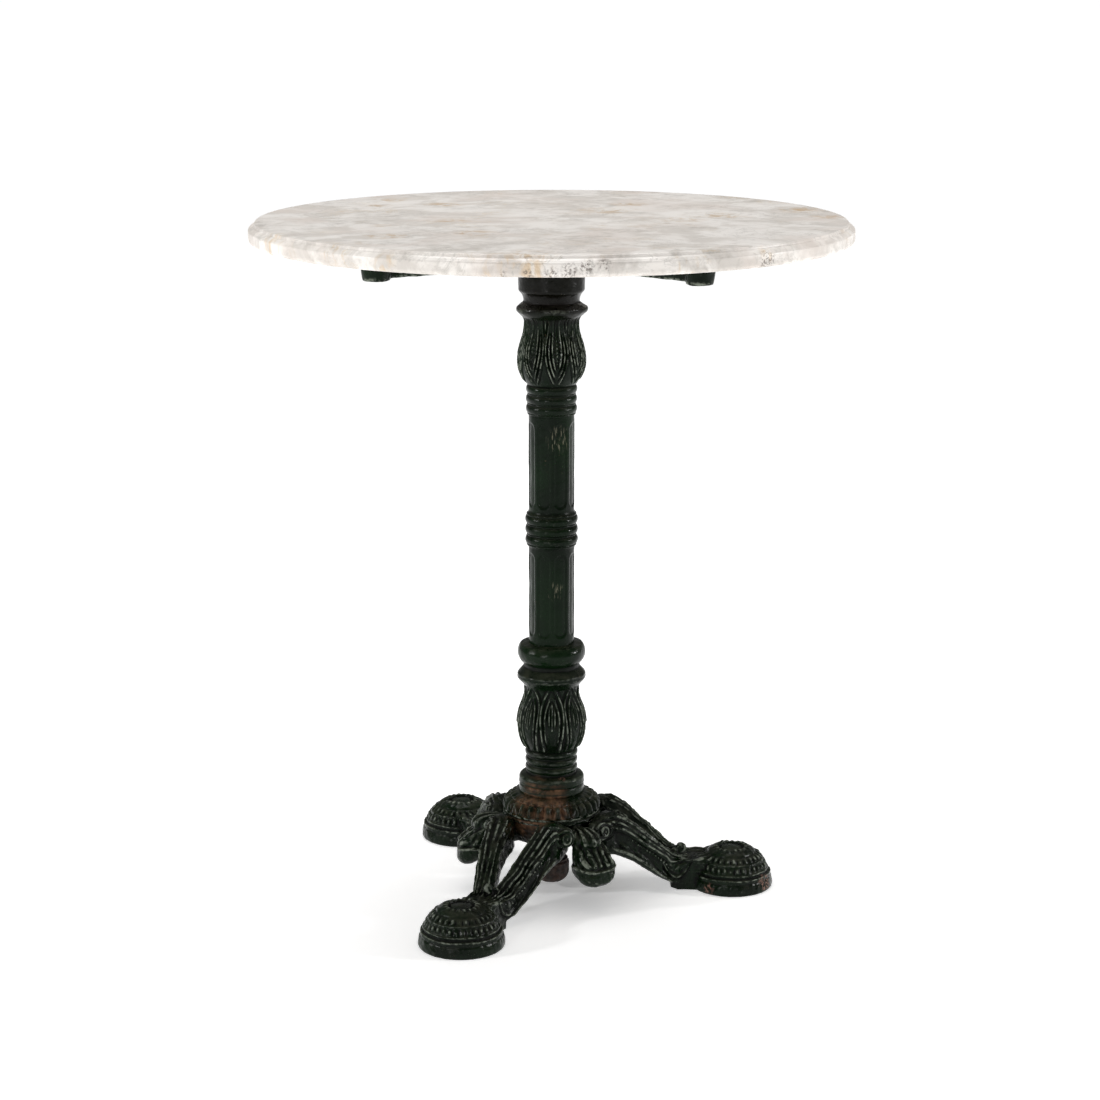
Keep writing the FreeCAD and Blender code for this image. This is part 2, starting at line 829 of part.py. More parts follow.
def make_seat(body, name, angle):
    """A flat round seat for one limb, with a bolt hole through the skirt."""
    way = math.radians(angle)
    out = size("seat_radius") * math.cos(way)
    side = size("seat_radius") * math.sin(way)
    boss_sketch = new_sketch(body, name + "_seat_circle", "YZ_Plane", out, side, angle)
    disc(boss_sketch, size("seat_boss_radius"), 0, size("seat_height"))
    boss = pad(body, boss_sketch, name + "_seat", size("seat_depth"), reversed_way=True)
    inner_face = size("seat_radius") - size("seat_depth")
    face_sketch = new_sketch(body, name + "_spot_face_circle", "YZ_Plane",
                             inner_face * math.cos(way), inner_face * math.sin(way), angle)
    disc(face_sketch, size("leg_washer_radius") + 1.0, 0, size("seat_height"))
    spot_face = pocket(body, face_sketch, name + "_spot_face", size("seat_depth"))
    hole_sketch = new_sketch(body, name + "_bolt_hole_circle", "YZ_Plane", out, side, angle)
    disc(hole_sketch, size("leg_bolt_radius") + size("spigot_gap"), 0, size("seat_height"))
    hole = pocket(body, hole_sketch, name + "_bolt_hole", 16.0)
    return [boss, spot_face, hole]


def limb_height(along, knuckle, ankle):
    """The height of a limb's edge, from knuckle (0) to ankle (1): level, steep, level again."""
    fall = (1 - math.cos(math.pi * along ** 1.25)) / 2
    return size(knuckle) - (size(knuckle) - size(ankle)) * fall


def limb_sections(body):
    """Sections along one limb: the first faces its seat, the others stand across the leg."""
    spread = math.radians(sheet.get("leg_spread"))
    seat_out = size("seat_radius") * math.cos(spread)
    seat_side = size("seat_radius") * math.sin(spread)
    half = size("limb_half_width")
    first = new_sketch(body, "Limb_seat_section", "YZ_Plane", seat_out, seat_side, size("leg_spread"))
    rounded_box(first, 0, size("seat_height") - 15.0, size("seat_height") + 12.5, half - 1.5, half * 0.6)
    sections = [first]
    for i, along in enumerate((0.17, 0.35, 0.55, 0.78, 1.0)):
        out = seat_out + (size("ankle_reach") - seat_out) * along
        side = seat_side + (size("ankle_side") - seat_side) * along
        side = side + size("limb_bow") * (4 * along * (1 - along))
        sketch = new_sketch(body, "Limb_section_%d" % i, "YZ_Plane", out)
        low = limb_height(along, "knuckle_foot", "ankle_foot")
        high = limb_height(along, "knuckle_top", "ankle_top")
        rounded_box(sketch, side, low, high, half, half * 0.8)
        sections.append(sketch)
    return sections


def make_leg(index):
    """A forked leg: two bowed limbs that join above a heel and a round stepped foot."""
    body = new_body(LEG_NAMES[index])
    limb = loft(body, "Limb", limb_sections(body))

    spread = math.radians(sheet.get("leg_spread"))
    seat_out = size("seat_radius") * math.cos(spread)
    seat_side = size("seat_radius") * math.sin(spread)
    hole_sketch = new_sketch(body, "Thread_circle", "YZ_Plane", seat_out, seat_side, size("leg_spread"))
    disc(hole_sketch, size("leg_bolt_radius") + size("thread_gap"), 0, size("seat_height"))
    thread = pocket(body, hole_sketch, "Thread", 14.0, reversed_way=True)

    mirror = body.newObject("PartDesign::Mirrored", "Second_limb")
    mirror.Originals = [limb, thread]
    mirror.MirrorPlane = (origin_feature(body, "XZ_Plane"), [""])
    body.Tip = mirror
    document.recompute()

    heel_sketch = new_sketch(body, "Heel_outline", "XY_Plane")
    outline(heel_sketch, (
        (size("heel_reach"), Dim(0) - size("heel_half_width") * 0.6),
        (size("heel_reach") + 7.0, Dim(0) - size("heel_half_width")),
        (size("foot_reach"), Dim(0) - size("heel_half_width")),
        (size("foot_reach"), size("heel_half_width")),
        (size("heel_reach") + 7.0, size("heel_half_width")),
        (size("heel_reach"), size("heel_half_width") * 0.6),
    ))
    pad(body, heel_sketch, "Heel", size("heel_height"))
    add_foot(body)
    place(body, turn=360.0 / LEG_COUNT * index)
    return part(body, LEG_NAMES[index])


def add_foot(body):
    """The round foot: an upright plinth, a ledge, a domed top with a dimple, hollow below."""
    centre = size("foot_reach")
    radius = size("foot_radius")
    side = size("foot_side_height")
    dome = size("foot_dome_height")
    wall = size("foot_wall")

    sketch = new_sketch(body, "Foot_outline", "XZ_Plane", 0, centre)
    outline(sketch, (
        (0, 0),
        (radius - 0.8, 0),
        (radius, 2.0),
        (radius, 6.0),
        (radius - 2.0, side),
        (radius - 3.0, side + 1.0, 60.0),
        (27.5, dome - 6.5, 22.0),
        (14.0, dome, -12.0),
        (0, dome - 5.0),
    ))
    foot = body.newObject("PartDesign::Revolution", "Foot")
    foot.Profile = sketch
    foot.ReferenceAxis = (sketch, ["V_Axis"])
    foot.Angle = 360
    document.recompute()

    volume = body.Shape.Volume
    hollow_sketch = new_sketch(body, "Hollow_outline", "XZ_Plane", 0, centre)
    outline(hollow_sketch, (
        (0, Dim(0) - 1.0),
        (radius - wall, Dim(0) - 1.0),
        (radius - wall, 8.0),
        (radius * 0.4, dome - wall * 2),
        (0, dome - wall * 2),
    ))
    hollow = body.newObject("PartDesign::Groove", "Hollow")
    hollow.Profile = hollow_sketch
    hollow.ReferenceAxis = (hollow_sketch, ["V_Axis"])
    hollow.Angle = 360
    document.recompute()
    if body.Shape.Volume > volume - 1e-3:
        raise RuntimeError("the hollow of the foot cuts nothing")


def limb_seats():
    """The angle of every limb seat around the hub."""
    for i in range(LEG_COUNT):
        for side in (-1, 1):
            yield 360.0 / LEG_COUNT * i + side * sheet.get("leg_spread")


def lay_radially(thing, angle, radius):
    """Lay an upright piece on a seat's axis, pointing away from the column."""
    way = math.radians(angle)
    radius = as_dim(radius)
    flat = FreeCAD.Rotation(FreeCAD.Vector(0, 1, 0), 90)
    turn = FreeCAD.Rotation(FreeCAD.Vector(0, 0, 1), angle)
    thing.Placement = FreeCAD.Placement(FreeCAD.Vector(0, 0, 0), turn.multiply(flat))
    thing.setExpression("Placement.Base.x", (radius * math.cos(way)).text)
    thing.setExpression("Placement.Base.y", (radius * math.sin(way)).text)
    thing.setExpression("Placement.Base.z", size("seat_height").text)


def make_leg_washers():
    pieces = []
    inner_face = size("seat_radius") - size("seat_depth")
    thick = size("leg_washer_thickness")
    for i, angle in enumerate(limb_seats()):
        hole = size("leg_bolt_radius") + size("spigot_gap")
        washer = ring("leg_washer_%d" % i, size("leg_washer_radius"), hole, thick)
        lay_radially(washer, angle, inner_face - thick)
        pieces.append(washer)
    return group("leg_washers", pieces)


def make_leg_bolts():
    """Hexagon bolts, put in from inside the hub into the threads of the limbs."""
    pieces = []
    head_height = size("leg_bolt_head_height")
    head_face = (size("seat_radius") - size("seat_depth")
                 - size("leg_washer_thickness") - head_height)
    for i, angle in enumerate(limb_seats()):
        head = hexagon("leg_bolt_head_%d" % i, size("leg_bolt_head_radius"), head_height)
        shank = cylinder("leg_bolt_shank_%d" % i, size("leg_bolt_radius"),
                         size("leg_bolt_length") + head_height)
        bolt = fuse("leg_bolt_%d" % i, head, shank)
        lay_radially(bolt, angle, head_face)
        pieces.append(bolt)
    return group("leg_bolts", pieces)


# ---- tie rod -----------------------------------------------------------------------------


def rod_washer_seat(seats):
    """The floor of the recess in the bracket, which the upper washer lies on."""
    return seats["pads"] - size("rod_washer_thickness") - size("rod_nut_height") - 1.5


def make_rod_pieces(seats):
    """The rod with its upper washer and nut and its lower washer."""
    seat = rod_washer_seat(seats)
    thick = size("rod_washer_thickness")
    foot = size("rod_foot")
    rod = cylinder("tie_rod", size("rod_radius"), seats["pads"] - 1.0 - foot)
    place(rod, z=foot)
    part(rod, "tie_rod")

    washer = ring("tie_rod_top_washer", size("rod_washer_radius"), size("rod_hole_radius"), thick)
    place(washer, z=seat)
    part(washer, "tie_rod_top_washer")

    nut_blank = hexagon("top_nut_blank", size("rod_nut_radius"), size("rod_nut_height"))
    thread = cylinder("top_nut_thread", size("rod_radius") + size("thread_gap"), size("rod_nut_height"))
    nut = cut("tie_rod_top_nut", nut_blank, thread)
    place(nut, z=seat + thick)
    part(nut, "tie_rod_top_nut")

    low_thick = size("foot_washer_thickness")
    low = ring("tie_rod_bottom_washer", size("foot_washer_radius"), size("rod_hole_radius"), low_thick)
    place(low, z=size("rod_boss_foot") - low_thick)
    part(low, "tie_rod_bottom_washer")


def make_cap_nut():
    """A round domed nut with a blind thread and two holes for a pin spanner."""
    radius = size("cap_nut_radius")
    foot = size("cap_nut_foot")
    top = size("rod_boss_foot") - size("foot_washer_thickness")
    thread = size("rod_radius") + size("thread_gap")
    body = new_body("tie_rod_cap_nut")
    revolve(body, "Dome", (
        (0, foot),
        (radius * 0.55, foot, radius * 0.7),
        (radius, foot + radius * 0.6),
        (radius, top - 1.5),
        (radius - 1.5, top),
        (thread, top),
        (thread, size("rod_foot") - 0.5),
        (0, size("rod_foot") - 0.5),
    ))
    holes = []
    for side, name in ((1, "Right"), (-1, "Left")):
        sketch = new_sketch(body, name + "_spanner_hole_circle", "XY_Plane", foot - 1.0)
        disc(sketch, size("spanner_hole_radius"), radius * (0.62 * side))
        holes.append(pocket(body, sketch, name + "_spanner_hole", 8.0, reversed_way=True))
    place(body)
    return part(body, "tie_rod_cap_nut")


# ---- the whole table ------------------------------------------------------------------------


def check_document():
    """Stop on any failed feature and on any piece without a sound solid."""
    for thing in document.Objects:
        if "Invalid" in thing.State or "Error" in thing.State:
            raise RuntimeError("%s is in state %s" % (thing.Label, thing.State))
    for thing in PARTS:
        if thing.Shape.isNull() or not thing.Shape.isValid() or not thing.Shape.Solids:
            raise RuntimeError("%s has no sound solid" % thing.Label)


def export_parts():
    os.makedirs("parts", exist_ok=True)
    for thing in PARTS:
        thing.Shape.exportStep("parts/%s.step" % thing.Label)


def main():
    fill_sheet()
    seats = heights()
    make_marble_top(seats)
    make_anchors(seats)
    make_pads(seats)
    make_bracket(seats)
    make_screws(seats)
    make_screw_washers(seats)
    make_capital(seats)
    make_shaft(seats)
    make_baluster(seats)
    make_collar(seats)
    make_base_hub()
    for index in range(LEG_COUNT):
        make_leg(index)
    make_leg_bolts()
    make_leg_washers()
    make_rod_pieces(seats)
    make_cap_nut()
    document.recompute()
    check_document()
    export_parts()


main()
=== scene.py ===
import math

import bmesh
import bpy
import numpy as np
from mathutils import Matrix, Vector


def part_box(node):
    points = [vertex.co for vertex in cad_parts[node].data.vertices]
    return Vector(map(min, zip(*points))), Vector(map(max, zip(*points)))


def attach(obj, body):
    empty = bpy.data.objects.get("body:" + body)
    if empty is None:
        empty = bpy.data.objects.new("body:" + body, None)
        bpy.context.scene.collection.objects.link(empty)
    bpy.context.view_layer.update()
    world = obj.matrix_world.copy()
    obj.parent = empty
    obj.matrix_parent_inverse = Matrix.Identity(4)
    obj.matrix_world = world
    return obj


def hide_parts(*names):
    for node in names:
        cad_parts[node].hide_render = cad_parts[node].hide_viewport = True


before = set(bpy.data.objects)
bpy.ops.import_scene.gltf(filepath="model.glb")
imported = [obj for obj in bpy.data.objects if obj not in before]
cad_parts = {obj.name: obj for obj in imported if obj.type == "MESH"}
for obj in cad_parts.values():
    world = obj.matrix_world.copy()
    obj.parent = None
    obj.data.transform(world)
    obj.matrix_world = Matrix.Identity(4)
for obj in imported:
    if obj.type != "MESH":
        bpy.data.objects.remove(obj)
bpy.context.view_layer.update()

# The looks of the bistro table: marble slab, cast column, tripod base.
# Shapes are worked out in millimetres and become metres when a mesh is made.

MM = 0.001
# The camera's side of the table, round the column from the first leg.
FRONT = math.radians(-91.9)
LEG_ANGLES = {"leg_right": 0.0, "leg_rear": 120.0, "leg_front": 240.0}
DROP_ANGLES = (60.0, 180.0, 300.0)
# Leaves round each bulb, and panels round the shaft.
PETALS = 8
PETAL_PITCH = 2 * math.pi / PETALS


def low(node):
    """The lowest height of a CAD node, in millimetres."""
    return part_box(node)[0].z / MM


def high(node):
    """The highest height of a CAD node, in millimetres."""
    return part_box(node)[1].z / MM


COLLAR_SEAT = high("base_hub")
BALUSTER_SEAT = high("gadroon_collar")
SHAFT_SEAT = low("shaft")
CAPITAL_SEAT = high("shaft")
SLAB_FOOT = low("marble_top")
SLAB_TOP = high("marble_top")
SLAB_RADIUS = min(abs(way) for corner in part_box("marble_top") for way in corner[:2]) / MM


def front_point(degrees, radius, height):
    """A point at an angle from the front of the column."""
    angle = FRONT + math.radians(degrees)
    return (radius * math.cos(angle), radius * math.sin(angle), height)


# ---- outlines ------------------------------------------------------------------------


def run_points(start, end, radius, step):
    """Points after start, up to end: straight, or an arc that bulges outward (inward if negative)."""
    start = np.array(start, float)
    end = np.array(end, float)
    chord = end - start
    length = np.hypot(*chord)
    if radius == 0:
        count = max(1, round(length / step))
        return [tuple(start + chord * i / count) for i in range(1, count + 1)]
    outward = np.array([chord[1], -chord[0]]) / length * math.copysign(1, radius)
    reach = abs(radius)
    centre = (start + end) / 2 - outward * math.sqrt(max(reach ** 2 - length ** 2 / 4, 0))
    half = math.asin(min(1.0, length / 2 / reach))
    along = chord / length
    count = max(3, round(2 * half * reach / step))
    turns = np.linspace(-half, half, count + 1)[1:]
    return [tuple(centre + reach * (outward * math.cos(t) + along * math.sin(t))) for t in turns]


def trace(corners, step):
    """A dense outline through (radius, height) corners; a third number bends the run after a corner."""
    points = [tuple(corners[0][:2])]
    for corner, following in zip(corners, corners[1:]):
        radius = corner[2] if len(corner) > 2 else 0
        points += run_points(corner[:2], following[:2], radius, step)
    return np.array(points)


def beads(first, last, groove, radius, count):
    """Corners of a row of round beads between two heights, each above a thin fillet."""
    pitch = (last - first) / count
    fillet = 0.17 * pitch
    tall = pitch - fillet
    swell = radius - groove
    bend = (tall ** 2 / 4 + swell ** 2) / (2 * swell)
    corners = []
    for i in range(count):
        foot = first + pitch * i
        corners.append((groove, foot, 0.75 * fillet))
        corners.append((groove, foot + fillet, bend))
    return tuple(corners)


def hump(value, width):
    """1 where value is 0, falling smoothly to 0 about two widths away."""
    return np.exp(-(value / width) ** 2)


def rise(value, start, end):
    """0 before start, 1 after end, smooth between."""
    t = np.clip((value - start) / (end - start), 0, 1)
    return t * t * (3 - 2 * t)


def waves(points, size, seed):
    """Soft irregular swelling between about -1 and 1, with lumps about size across."""
    random = np.random.default_rng(seed)
    total = np.zeros(points.shape[:-1])
    for _ in range(9):
        way = random.normal(size=3)
        way *= random.uniform(0.7, 1.5) / np.linalg.norm(way)
        total += np.sin(points @ way * (2 * math.pi / size) + random.uniform(0, 2 * math.pi))
    return total / 3.5


# ---- meshes --------------------------------------------------------------------------


def new_piece(name, points, faces):
    mesh = bpy.data.meshes.new(name)
    mesh.from_pydata((np.asarray(points) * MM).tolist(), [], faces)
    mesh.update()
    piece = bpy.data.objects.new(name, mesh)
    bpy.context.scene.collection.objects.link(piece)
    return piece


def ring_faces(rows, columns, closed):
    """Quads between neighbouring rings of a turned skin."""
    last = rows if closed else rows - 1
    faces = []
    for i in range(last):
        here = i * columns
        there = (i + 1) % rows * columns
        for j in range(columns):
            k = (j + 1) % columns
            faces.append((here + j, here + k, there + k, there + j))
    return faces


def section_normals(section):
    """Outward directions along an outline that runs upward."""
    along = np.gradient(section, axis=0)
    along /= np.linalg.norm(along, axis=1)[:, None]
    return np.stack([along[:, 1], -along[:, 0]], 1)


def turned(name, seat, outside, inside, relief, columns):
    """A turned casting that stands on the height seat. Its outside carries relief(angle, radius, height),
    which fades out at both ends, and the bore inside is plain."""
    outside = outside + (0, seat)
    bore = np.array(inside, float) + (0, seat)
    angles = np.arange(columns) * (2 * math.pi / columns)
    normals = section_normals(outside)
    runs = np.linalg.norm(np.diff(outside, axis=0), axis=1)
    travel = np.concatenate([[0], np.cumsum(runs)])
    fade = rise(travel, 0, 2) * rise(travel[-1] - travel, 0, 2)
    lift = relief(angles[None, :], outside[:, :1], outside[:, 1:]) * fade[:, None]
    radius = outside[:, :1] + normals[:, :1] * lift
    height = outside[:, 1:] + normals[:, 1:] * lift
    radius = np.vstack([radius, np.repeat(bore[:, :1], columns, 1)])
    height = np.vstack([height, np.repeat(bore[:, 1:], columns, 1)])
    points = np.stack([radius * np.cos(angles), radius * np.sin(angles), height], -1)
    return new_piece(name, points.reshape(-1, 3), ring_faces(len(radius), columns, True))


def recast(name, node, extras, voxel, smoothing):
    """A casting skinned over its CAD node and extra lumps, with soft cast edges."""
    shape = bmesh.new()
    shape.from_mesh(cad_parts[node].data)
    bmesh.ops.remove_doubles(shape, verts=shape.verts, dist=1e-6)
    for matrix in extras:
        bmesh.ops.create_icosphere(shape, subdivisions=3, radius=MM, matrix=matrix)
    mesh = bpy.data.meshes.new(name)
    shape.to_mesh(mesh)
    shape.free()
    piece = bpy.data.objects.new(name, mesh)
    bpy.context.scene.collection.objects.link(piece)
    skin = piece.modifiers.new("skin", "REMESH")
    skin.mode = "VOXEL"
    skin.voxel_size = voxel * MM
    soften = piece.modifiers.new("soften", "SMOOTH")
    soften.factor = 0.5
    soften.iterations = smoothing
    bpy.context.view_layer.update()
    ready = piece.evaluated_get(bpy.context.evaluated_depsgraph_get())
    piece.data = bpy.data.meshes.new_from_object(ready)
    piece.modifiers.clear()
    return piece


def lump(centre, radii, turn=0.0):
    """The matrix that makes an egg-shaped lump out of a ball of 1 mm: its centre and radii are in
    millimetres, and turn is in degrees round the column."""
    spin = Matrix.Rotation(math.radians(turn), 4, "Z")
    return spin @ Matrix.Translation(Vector(centre) * MM) @ Matrix.Diagonal((*radii, 1))


def read_points(piece):
    data = np.zeros(len(piece.data.vertices) * 3)
    piece.data.vertices.foreach_get("co", data)
    return data.reshape(-1, 3) / MM


def read_normals(piece):
    data = np.zeros(len(piece.data.vertices) * 3, np.float32)
    piece.data.vertex_normals.foreach_get("vector", data)
    return data.reshape(-1, 3).astype(float)


def write_points(piece, points):
    piece.data.vertices.foreach_set("co", (points * MM).ravel())
    piece.data.update()


def emboss(piece, relief):
    """Move every point of a piece along its normal by relief(points, normals) millimetres."""
    points = read_points(piece)
    normals = read_normals(piece)
    write_points(piece, points + normals * relief(points, normals)[:, None])


# How far the surface is softened to find its ridges and hollows, in steps from point to point.
SOFT_ROUNDS = 16
# Edges this close to a joint between castings are sheltered: not counted as raised, so they get neither
# wear nor painted highlight, in millimetres.
SHELTER = 3.0
# Edges sharper than this are shaded as edges, in degrees.
CREASE = 60


def mark_stand(piece, joints):
    """Store how far each point stands out of the softened surface round it, in millimetres.
    Joints are the heights where the piece meets others: its two ends, if none are given."""
    mesh = piece.data
    points = read_points(piece)
    ends = np.zeros(len(mesh.edges) * 2, np.int32)
    mesh.edges.foreach_get("vertices", ends)
    first, second = ends.reshape(-1, 2).T
    count = np.bincount(ends, minlength=len(points))
    soft = points
    for _ in range(SOFT_ROUNDS):
        soft = np.stack([np.bincount(first, axis[second], len(points))
                         + np.bincount(second, axis[first], len(points)) for axis in soft.T], 1)
        soft = soft / count[:, None]
    stand = ((points - soft) * read_normals(piece)).sum(1)
    height = points[:, 2]
    for joint in joints or (height.min(), height.max()):
        stand = np.where(np.abs(height - joint) < SHELTER, np.minimum(stand, 0), stand)
    mesh.attributes.new("stand", "FLOAT", "POINT")
    mesh.attributes["stand"].data.foreach_set("value", stand.astype(np.float32))


def turn_points(points, degrees):
    angle = math.radians(degrees)
    spin = np.array([[math.cos(angle), -math.sin(angle), 0],
                     [math.sin(angle), math.cos(angle), 0],
                     [0, 0, 1]])
    return points @ spin.T


def finish_piece(piece, material, slot, *nodes, joints=()):
    """Shade a piece, give it its material and tie it to the frame."""
    mark_stand(piece, joints)
    piece.data.materials.clear()
    piece.data.materials.append(material)
    piece.data.shade_smooth()
    piece.data.set_sharp_from_angle(angle=math.radians(CREASE))
    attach(piece, "root")
    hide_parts(*nodes)
    return piece


# ---- materials -----------------------------------------------------------------------


class Graph:
    """A material's node graph, with short ways to add what these finishes use.
    Its colour is built up in layers, and dull marks where a layer has taken the shine."""

    def __init__(self, name):
        self.material = bpy.data.materials.new(name)
        self.material.use_nodes = True
        self.tree = self.material.node_tree
        self.shader = self.tree.nodes["Principled BSDF"]
        self.place = self.node("ShaderNodeTexCoord").outputs["Object"]
        self.colour = None
        self.dull = 0.0

    def node(self, kind, inputs=(), **settings):
        made = self.tree.nodes.new(kind)
        for name, value in settings.items():
            setattr(made, name, value)
        for name, value in dict(inputs).items():
            self.feed(made.inputs[name], value)
        return made

    def feed(self, socket, value):
        if isinstance(value, bpy.types.NodeSocket):
            self.tree.links.new(value, socket)
        else:
            socket.default_value = value

    def stretch(self, scale):
        """Object coordinates, scaled by three numbers."""
        return self.node("ShaderNodeMapping", {"Vector": self.place, "Scale": scale}).outputs[0]

    def noise(self, size, detail=4.0, roughness=0.5, distortion=0.0, place=None):
        """Cloudy noise with lumps about size millimetres across."""
        made = self.node("ShaderNodeTexNoise", {
            "Vector": place or self.place, "Scale": 1 / (size * MM), "Detail": detail,
            "Roughness": roughness, "Distortion": distortion})
        return made.outputs["Fac"]

    def math(self, operation, first, second=0.0):
        made = self.node("ShaderNodeMath", {0: first, 1: second}, operation=operation)
        return made.outputs[0]

    def span(self, value, start, end, low_value=0.0, high_value=1.0):
        """value from start to end becomes low_value to high_value, smoothly, held beyond."""
        made = self.node("ShaderNodeMapRange", {
            "Value": value, "From Min": start, "From Max": end,
            "To Min": low_value, "To Max": high_value}, interpolation_type="SMOOTHSTEP")
        return made.outputs[0]

    def mix(self, share, first, second):
        """A colour between two colours."""
        made = self.node("ShaderNodeMix", data_type="RGBA")
        colours = [item for item in made.inputs if item.type == "RGBA"]
        self.feed(made.inputs["Factor"], share)
        self.feed(colours[0], first)
        self.feed(colours[1], second)
        return next(item for item in made.outputs if item.type == "RGBA")

    def layer(self, mask, share, tint, dulls=False):
        """Lay a share of a tint over the colour where mask is 1."""
        self.colour = self.mix(self.math("MULTIPLY", mask, share), self.colour, tint)
        if dulls:
            self.dull = self.math("MAXIMUM", self.dull, mask)

    def near(self, centre, radius, softness=0.5):
        """1 close to a point in millimetres, fading to 0 at radius."""
        made = self.node("ShaderNodeVectorMath", {0: self.place, 1: Vector(centre) * MM},
                         operation="DISTANCE")
        return self.span(made.outputs["Value"], radius * MM, radius * softness * MM)

    def spots(self, spots):
        """The largest of several near() masks."""
        total = self.near(*spots[0])
        for spot in spots[1:]:
            total = self.math("MAXIMUM", total, self.near(*spot))
        return total

    def stand(self, start, end):
        """Raised edges (start below end) or hollows (start above end), as marked on the mesh."""
        marks = self.node("ShaderNodeAttribute", attribute_name="stand")
        return self.span(marks.outputs["Fac"], start, end)

    def facing_up(self, start, end):
        geometry = self.node("ShaderNodeNewGeometry")
        parts = self.node("ShaderNodeSeparateXYZ", {0: geometry.outputs["Normal"]})
        return self.span(parts.outputs["Z"], start, end)

    def bump(self, height, strength, distance):
        made = self.node("ShaderNodeBump", {"Height": height, "Strength": strength,
                                            "Distance": distance * MM})
        self.feed(self.shader.inputs["Normal"], made.outputs[0])

    def set(self, **values):
        for name, value in values.items():
            self.feed(self.shader.inputs[name.replace("_", " ")], value)
        return self.material


def rgb(red, green, blue):
    """A colour from screen values between 0 and 255."""
    return tuple((c / 255 / 12.92) if c < 11 else ((c / 255 + 0.055) / 1.055) ** 2.4
                 for c in (red, green, blue)) + (1.0,)


def add_rust(g, spots):
    """Blotches of rust round the spots, kept off the raised edges."""
    patches = g.span(g.noise(14, 6, 0.6, 0.3), 0.3, 0.62)
    rust = g.math("MULTIPLY", g.math("MULTIPLY", g.spots(spots), patches), g.stand(0.5, -0.1))
    tint = g.mix(g.span(g.noise(6, 5), 0.35, 0.65), rgb(66, 44, 34), rgb(126, 92, 68))
    g.layer(rust, 0.75, tint, dulls=True)


def add_chips(g, spots):
    """Ragged losses down to the red primer round the spots."""
    ragged = g.span(g.noise(3.5, 5, 0.7, 0.6), 0.48, 0.55)
    tint = g.mix(g.span(g.noise(2.5, 3), 0.4, 0.6), rgb(70, 50, 42), rgb(128, 98, 86))
    g.layer(g.math("MULTIPLY", g.spots(spots), ragged), 1.0, tint, dulls=True)


def add_scratches(g, spots):
    """Short upright scuffs round the spots."""
    streaks = g.span(g.noise(1.6, 3, 0.6, 0.3, g.stretch((1, 1, 0.16))), 0.54, 0.62)
    g.layer(g.math("MULTIPLY", g.spots(spots), streaks), 0.45, rgb(122, 118, 100), dulls=True)


def painted_iron(name, dust, rust_spots=(), chip_spots=(), scratch_spots=(), painted_shadow_spots=(), gloss=0.11,
                 painted_hollow_shade=0.92):
    """Thick old dark green paint on sand-cast iron, with dust, rust and chips down to primer, painted
    shade in its hollows, wear and a painted highlight on its raised edges, and a painted shadow round any
    given spots.
    """
    g = Graph(name)
    g.colour = g.mix(g.span(g.noise(55, 3), 0.35, 0.65), rgb(5, 14, 5), rgb(8, 25, 8))
    dusty = g.math("MULTIPLY", g.facing_up(0.0, 0.9), g.span(g.noise(14, 5, 0.6), 0.35, 0.7))
    g.layer(dusty, dust, rgb(72, 71, 58), dulls=True)
    freckles = g.span(g.noise(3.2, 3, 0.6), 0.66, 0.74)
    flecks = g.math("MULTIPLY", freckles, g.span(g.noise(38, 2), 0.5, 0.62))
    g.layer(flecks, 0.4, rgb(88, 70, 52), dulls=True)
    # Painted shade: the hollows are darkened nearly to black.
    g.layer(g.stand(-0.02, -0.6), painted_hollow_shade, rgb(1, 2, 1), dulls=True)
    if rust_spots:
        add_rust(g, rust_spots)
    if chip_spots:
        add_chips(g, chip_spots)
    # Raised edges lightened: partly rubbed paint, partly a painted highlight along the crests.
    wear_and_highlight = g.math("MULTIPLY", g.stand(0.35, 0.9), g.span(g.noise(6, 5, 0.6), 0.4, 0.6))
    g.layer(wear_and_highlight, 0.8, rgb(124, 130, 118))
    # Painted shadow: near black round the given spots.
    if painted_shadow_spots:
        g.layer(g.spots(painted_shadow_spots), 0.8, rgb(9, 5, 4))
    if scratch_spots:
        add_scratches(g, scratch_spots)
    skin = g.math("ADD", g.math("MULTIPLY", g.noise(2.6, 3, 0.55), 0.6), g.noise(11, 2))
    g.bump(skin, 0.3, 0.9)
    rough = g.span(g.noise(20, 4), 0.3, 0.7, 0.14, 0.28)
    rough = g.math("ADD", rough, g.math("MULTIPLY", g.dull, 0.35))
    return g.set(Base_Color=g.colour, Roughness=rough, Specular_IOR_Level=gloss)


def rusty_iron(name):
    """Bare cast iron with an even brown coat of rust."""
    g = Graph(name)
    colour = g.mix(g.span(g.noise(7, 5, 0.6), 0.35, 0.65), rgb(24, 16, 12), rgb(56, 36, 25))
    colour = g.mix(g.stand(0.2, 0.6), colour, rgb(84, 62, 46))
    g.bump(g.noise(1.6, 5, 0.65), 0.5, 0.5)
    return g.set(Base_Color=colour, Roughness=g.span(g.noise(5, 4), 0.3, 0.7, 0.55, 0.85))


def zinc_steel(name):
    """Zinc-plated steel with a dull old bloom and some patches of rust."""
    g = Graph(name)
    bloom = g.span(g.noise(6, 5, 0.6), 0.35, 0.7)
    colour = g.mix(bloom, rgb(150, 150, 146), rgb(104, 102, 96))
    rust = g.math("MULTIPLY", g.span(g.noise(9, 3), 0.45, 0.65), g.span(g.noise(4, 5), 0.4, 0.6))
    colour = g.mix(rust, colour, rgb(96, 58, 34))
    g.bump(g.noise(0.9, 3), 0.25, 0.15)
    return g.set(Base_Color=colour, Metallic=0.9, Roughness=g.span(bloom, 0, 1, 0.35, 0.6))


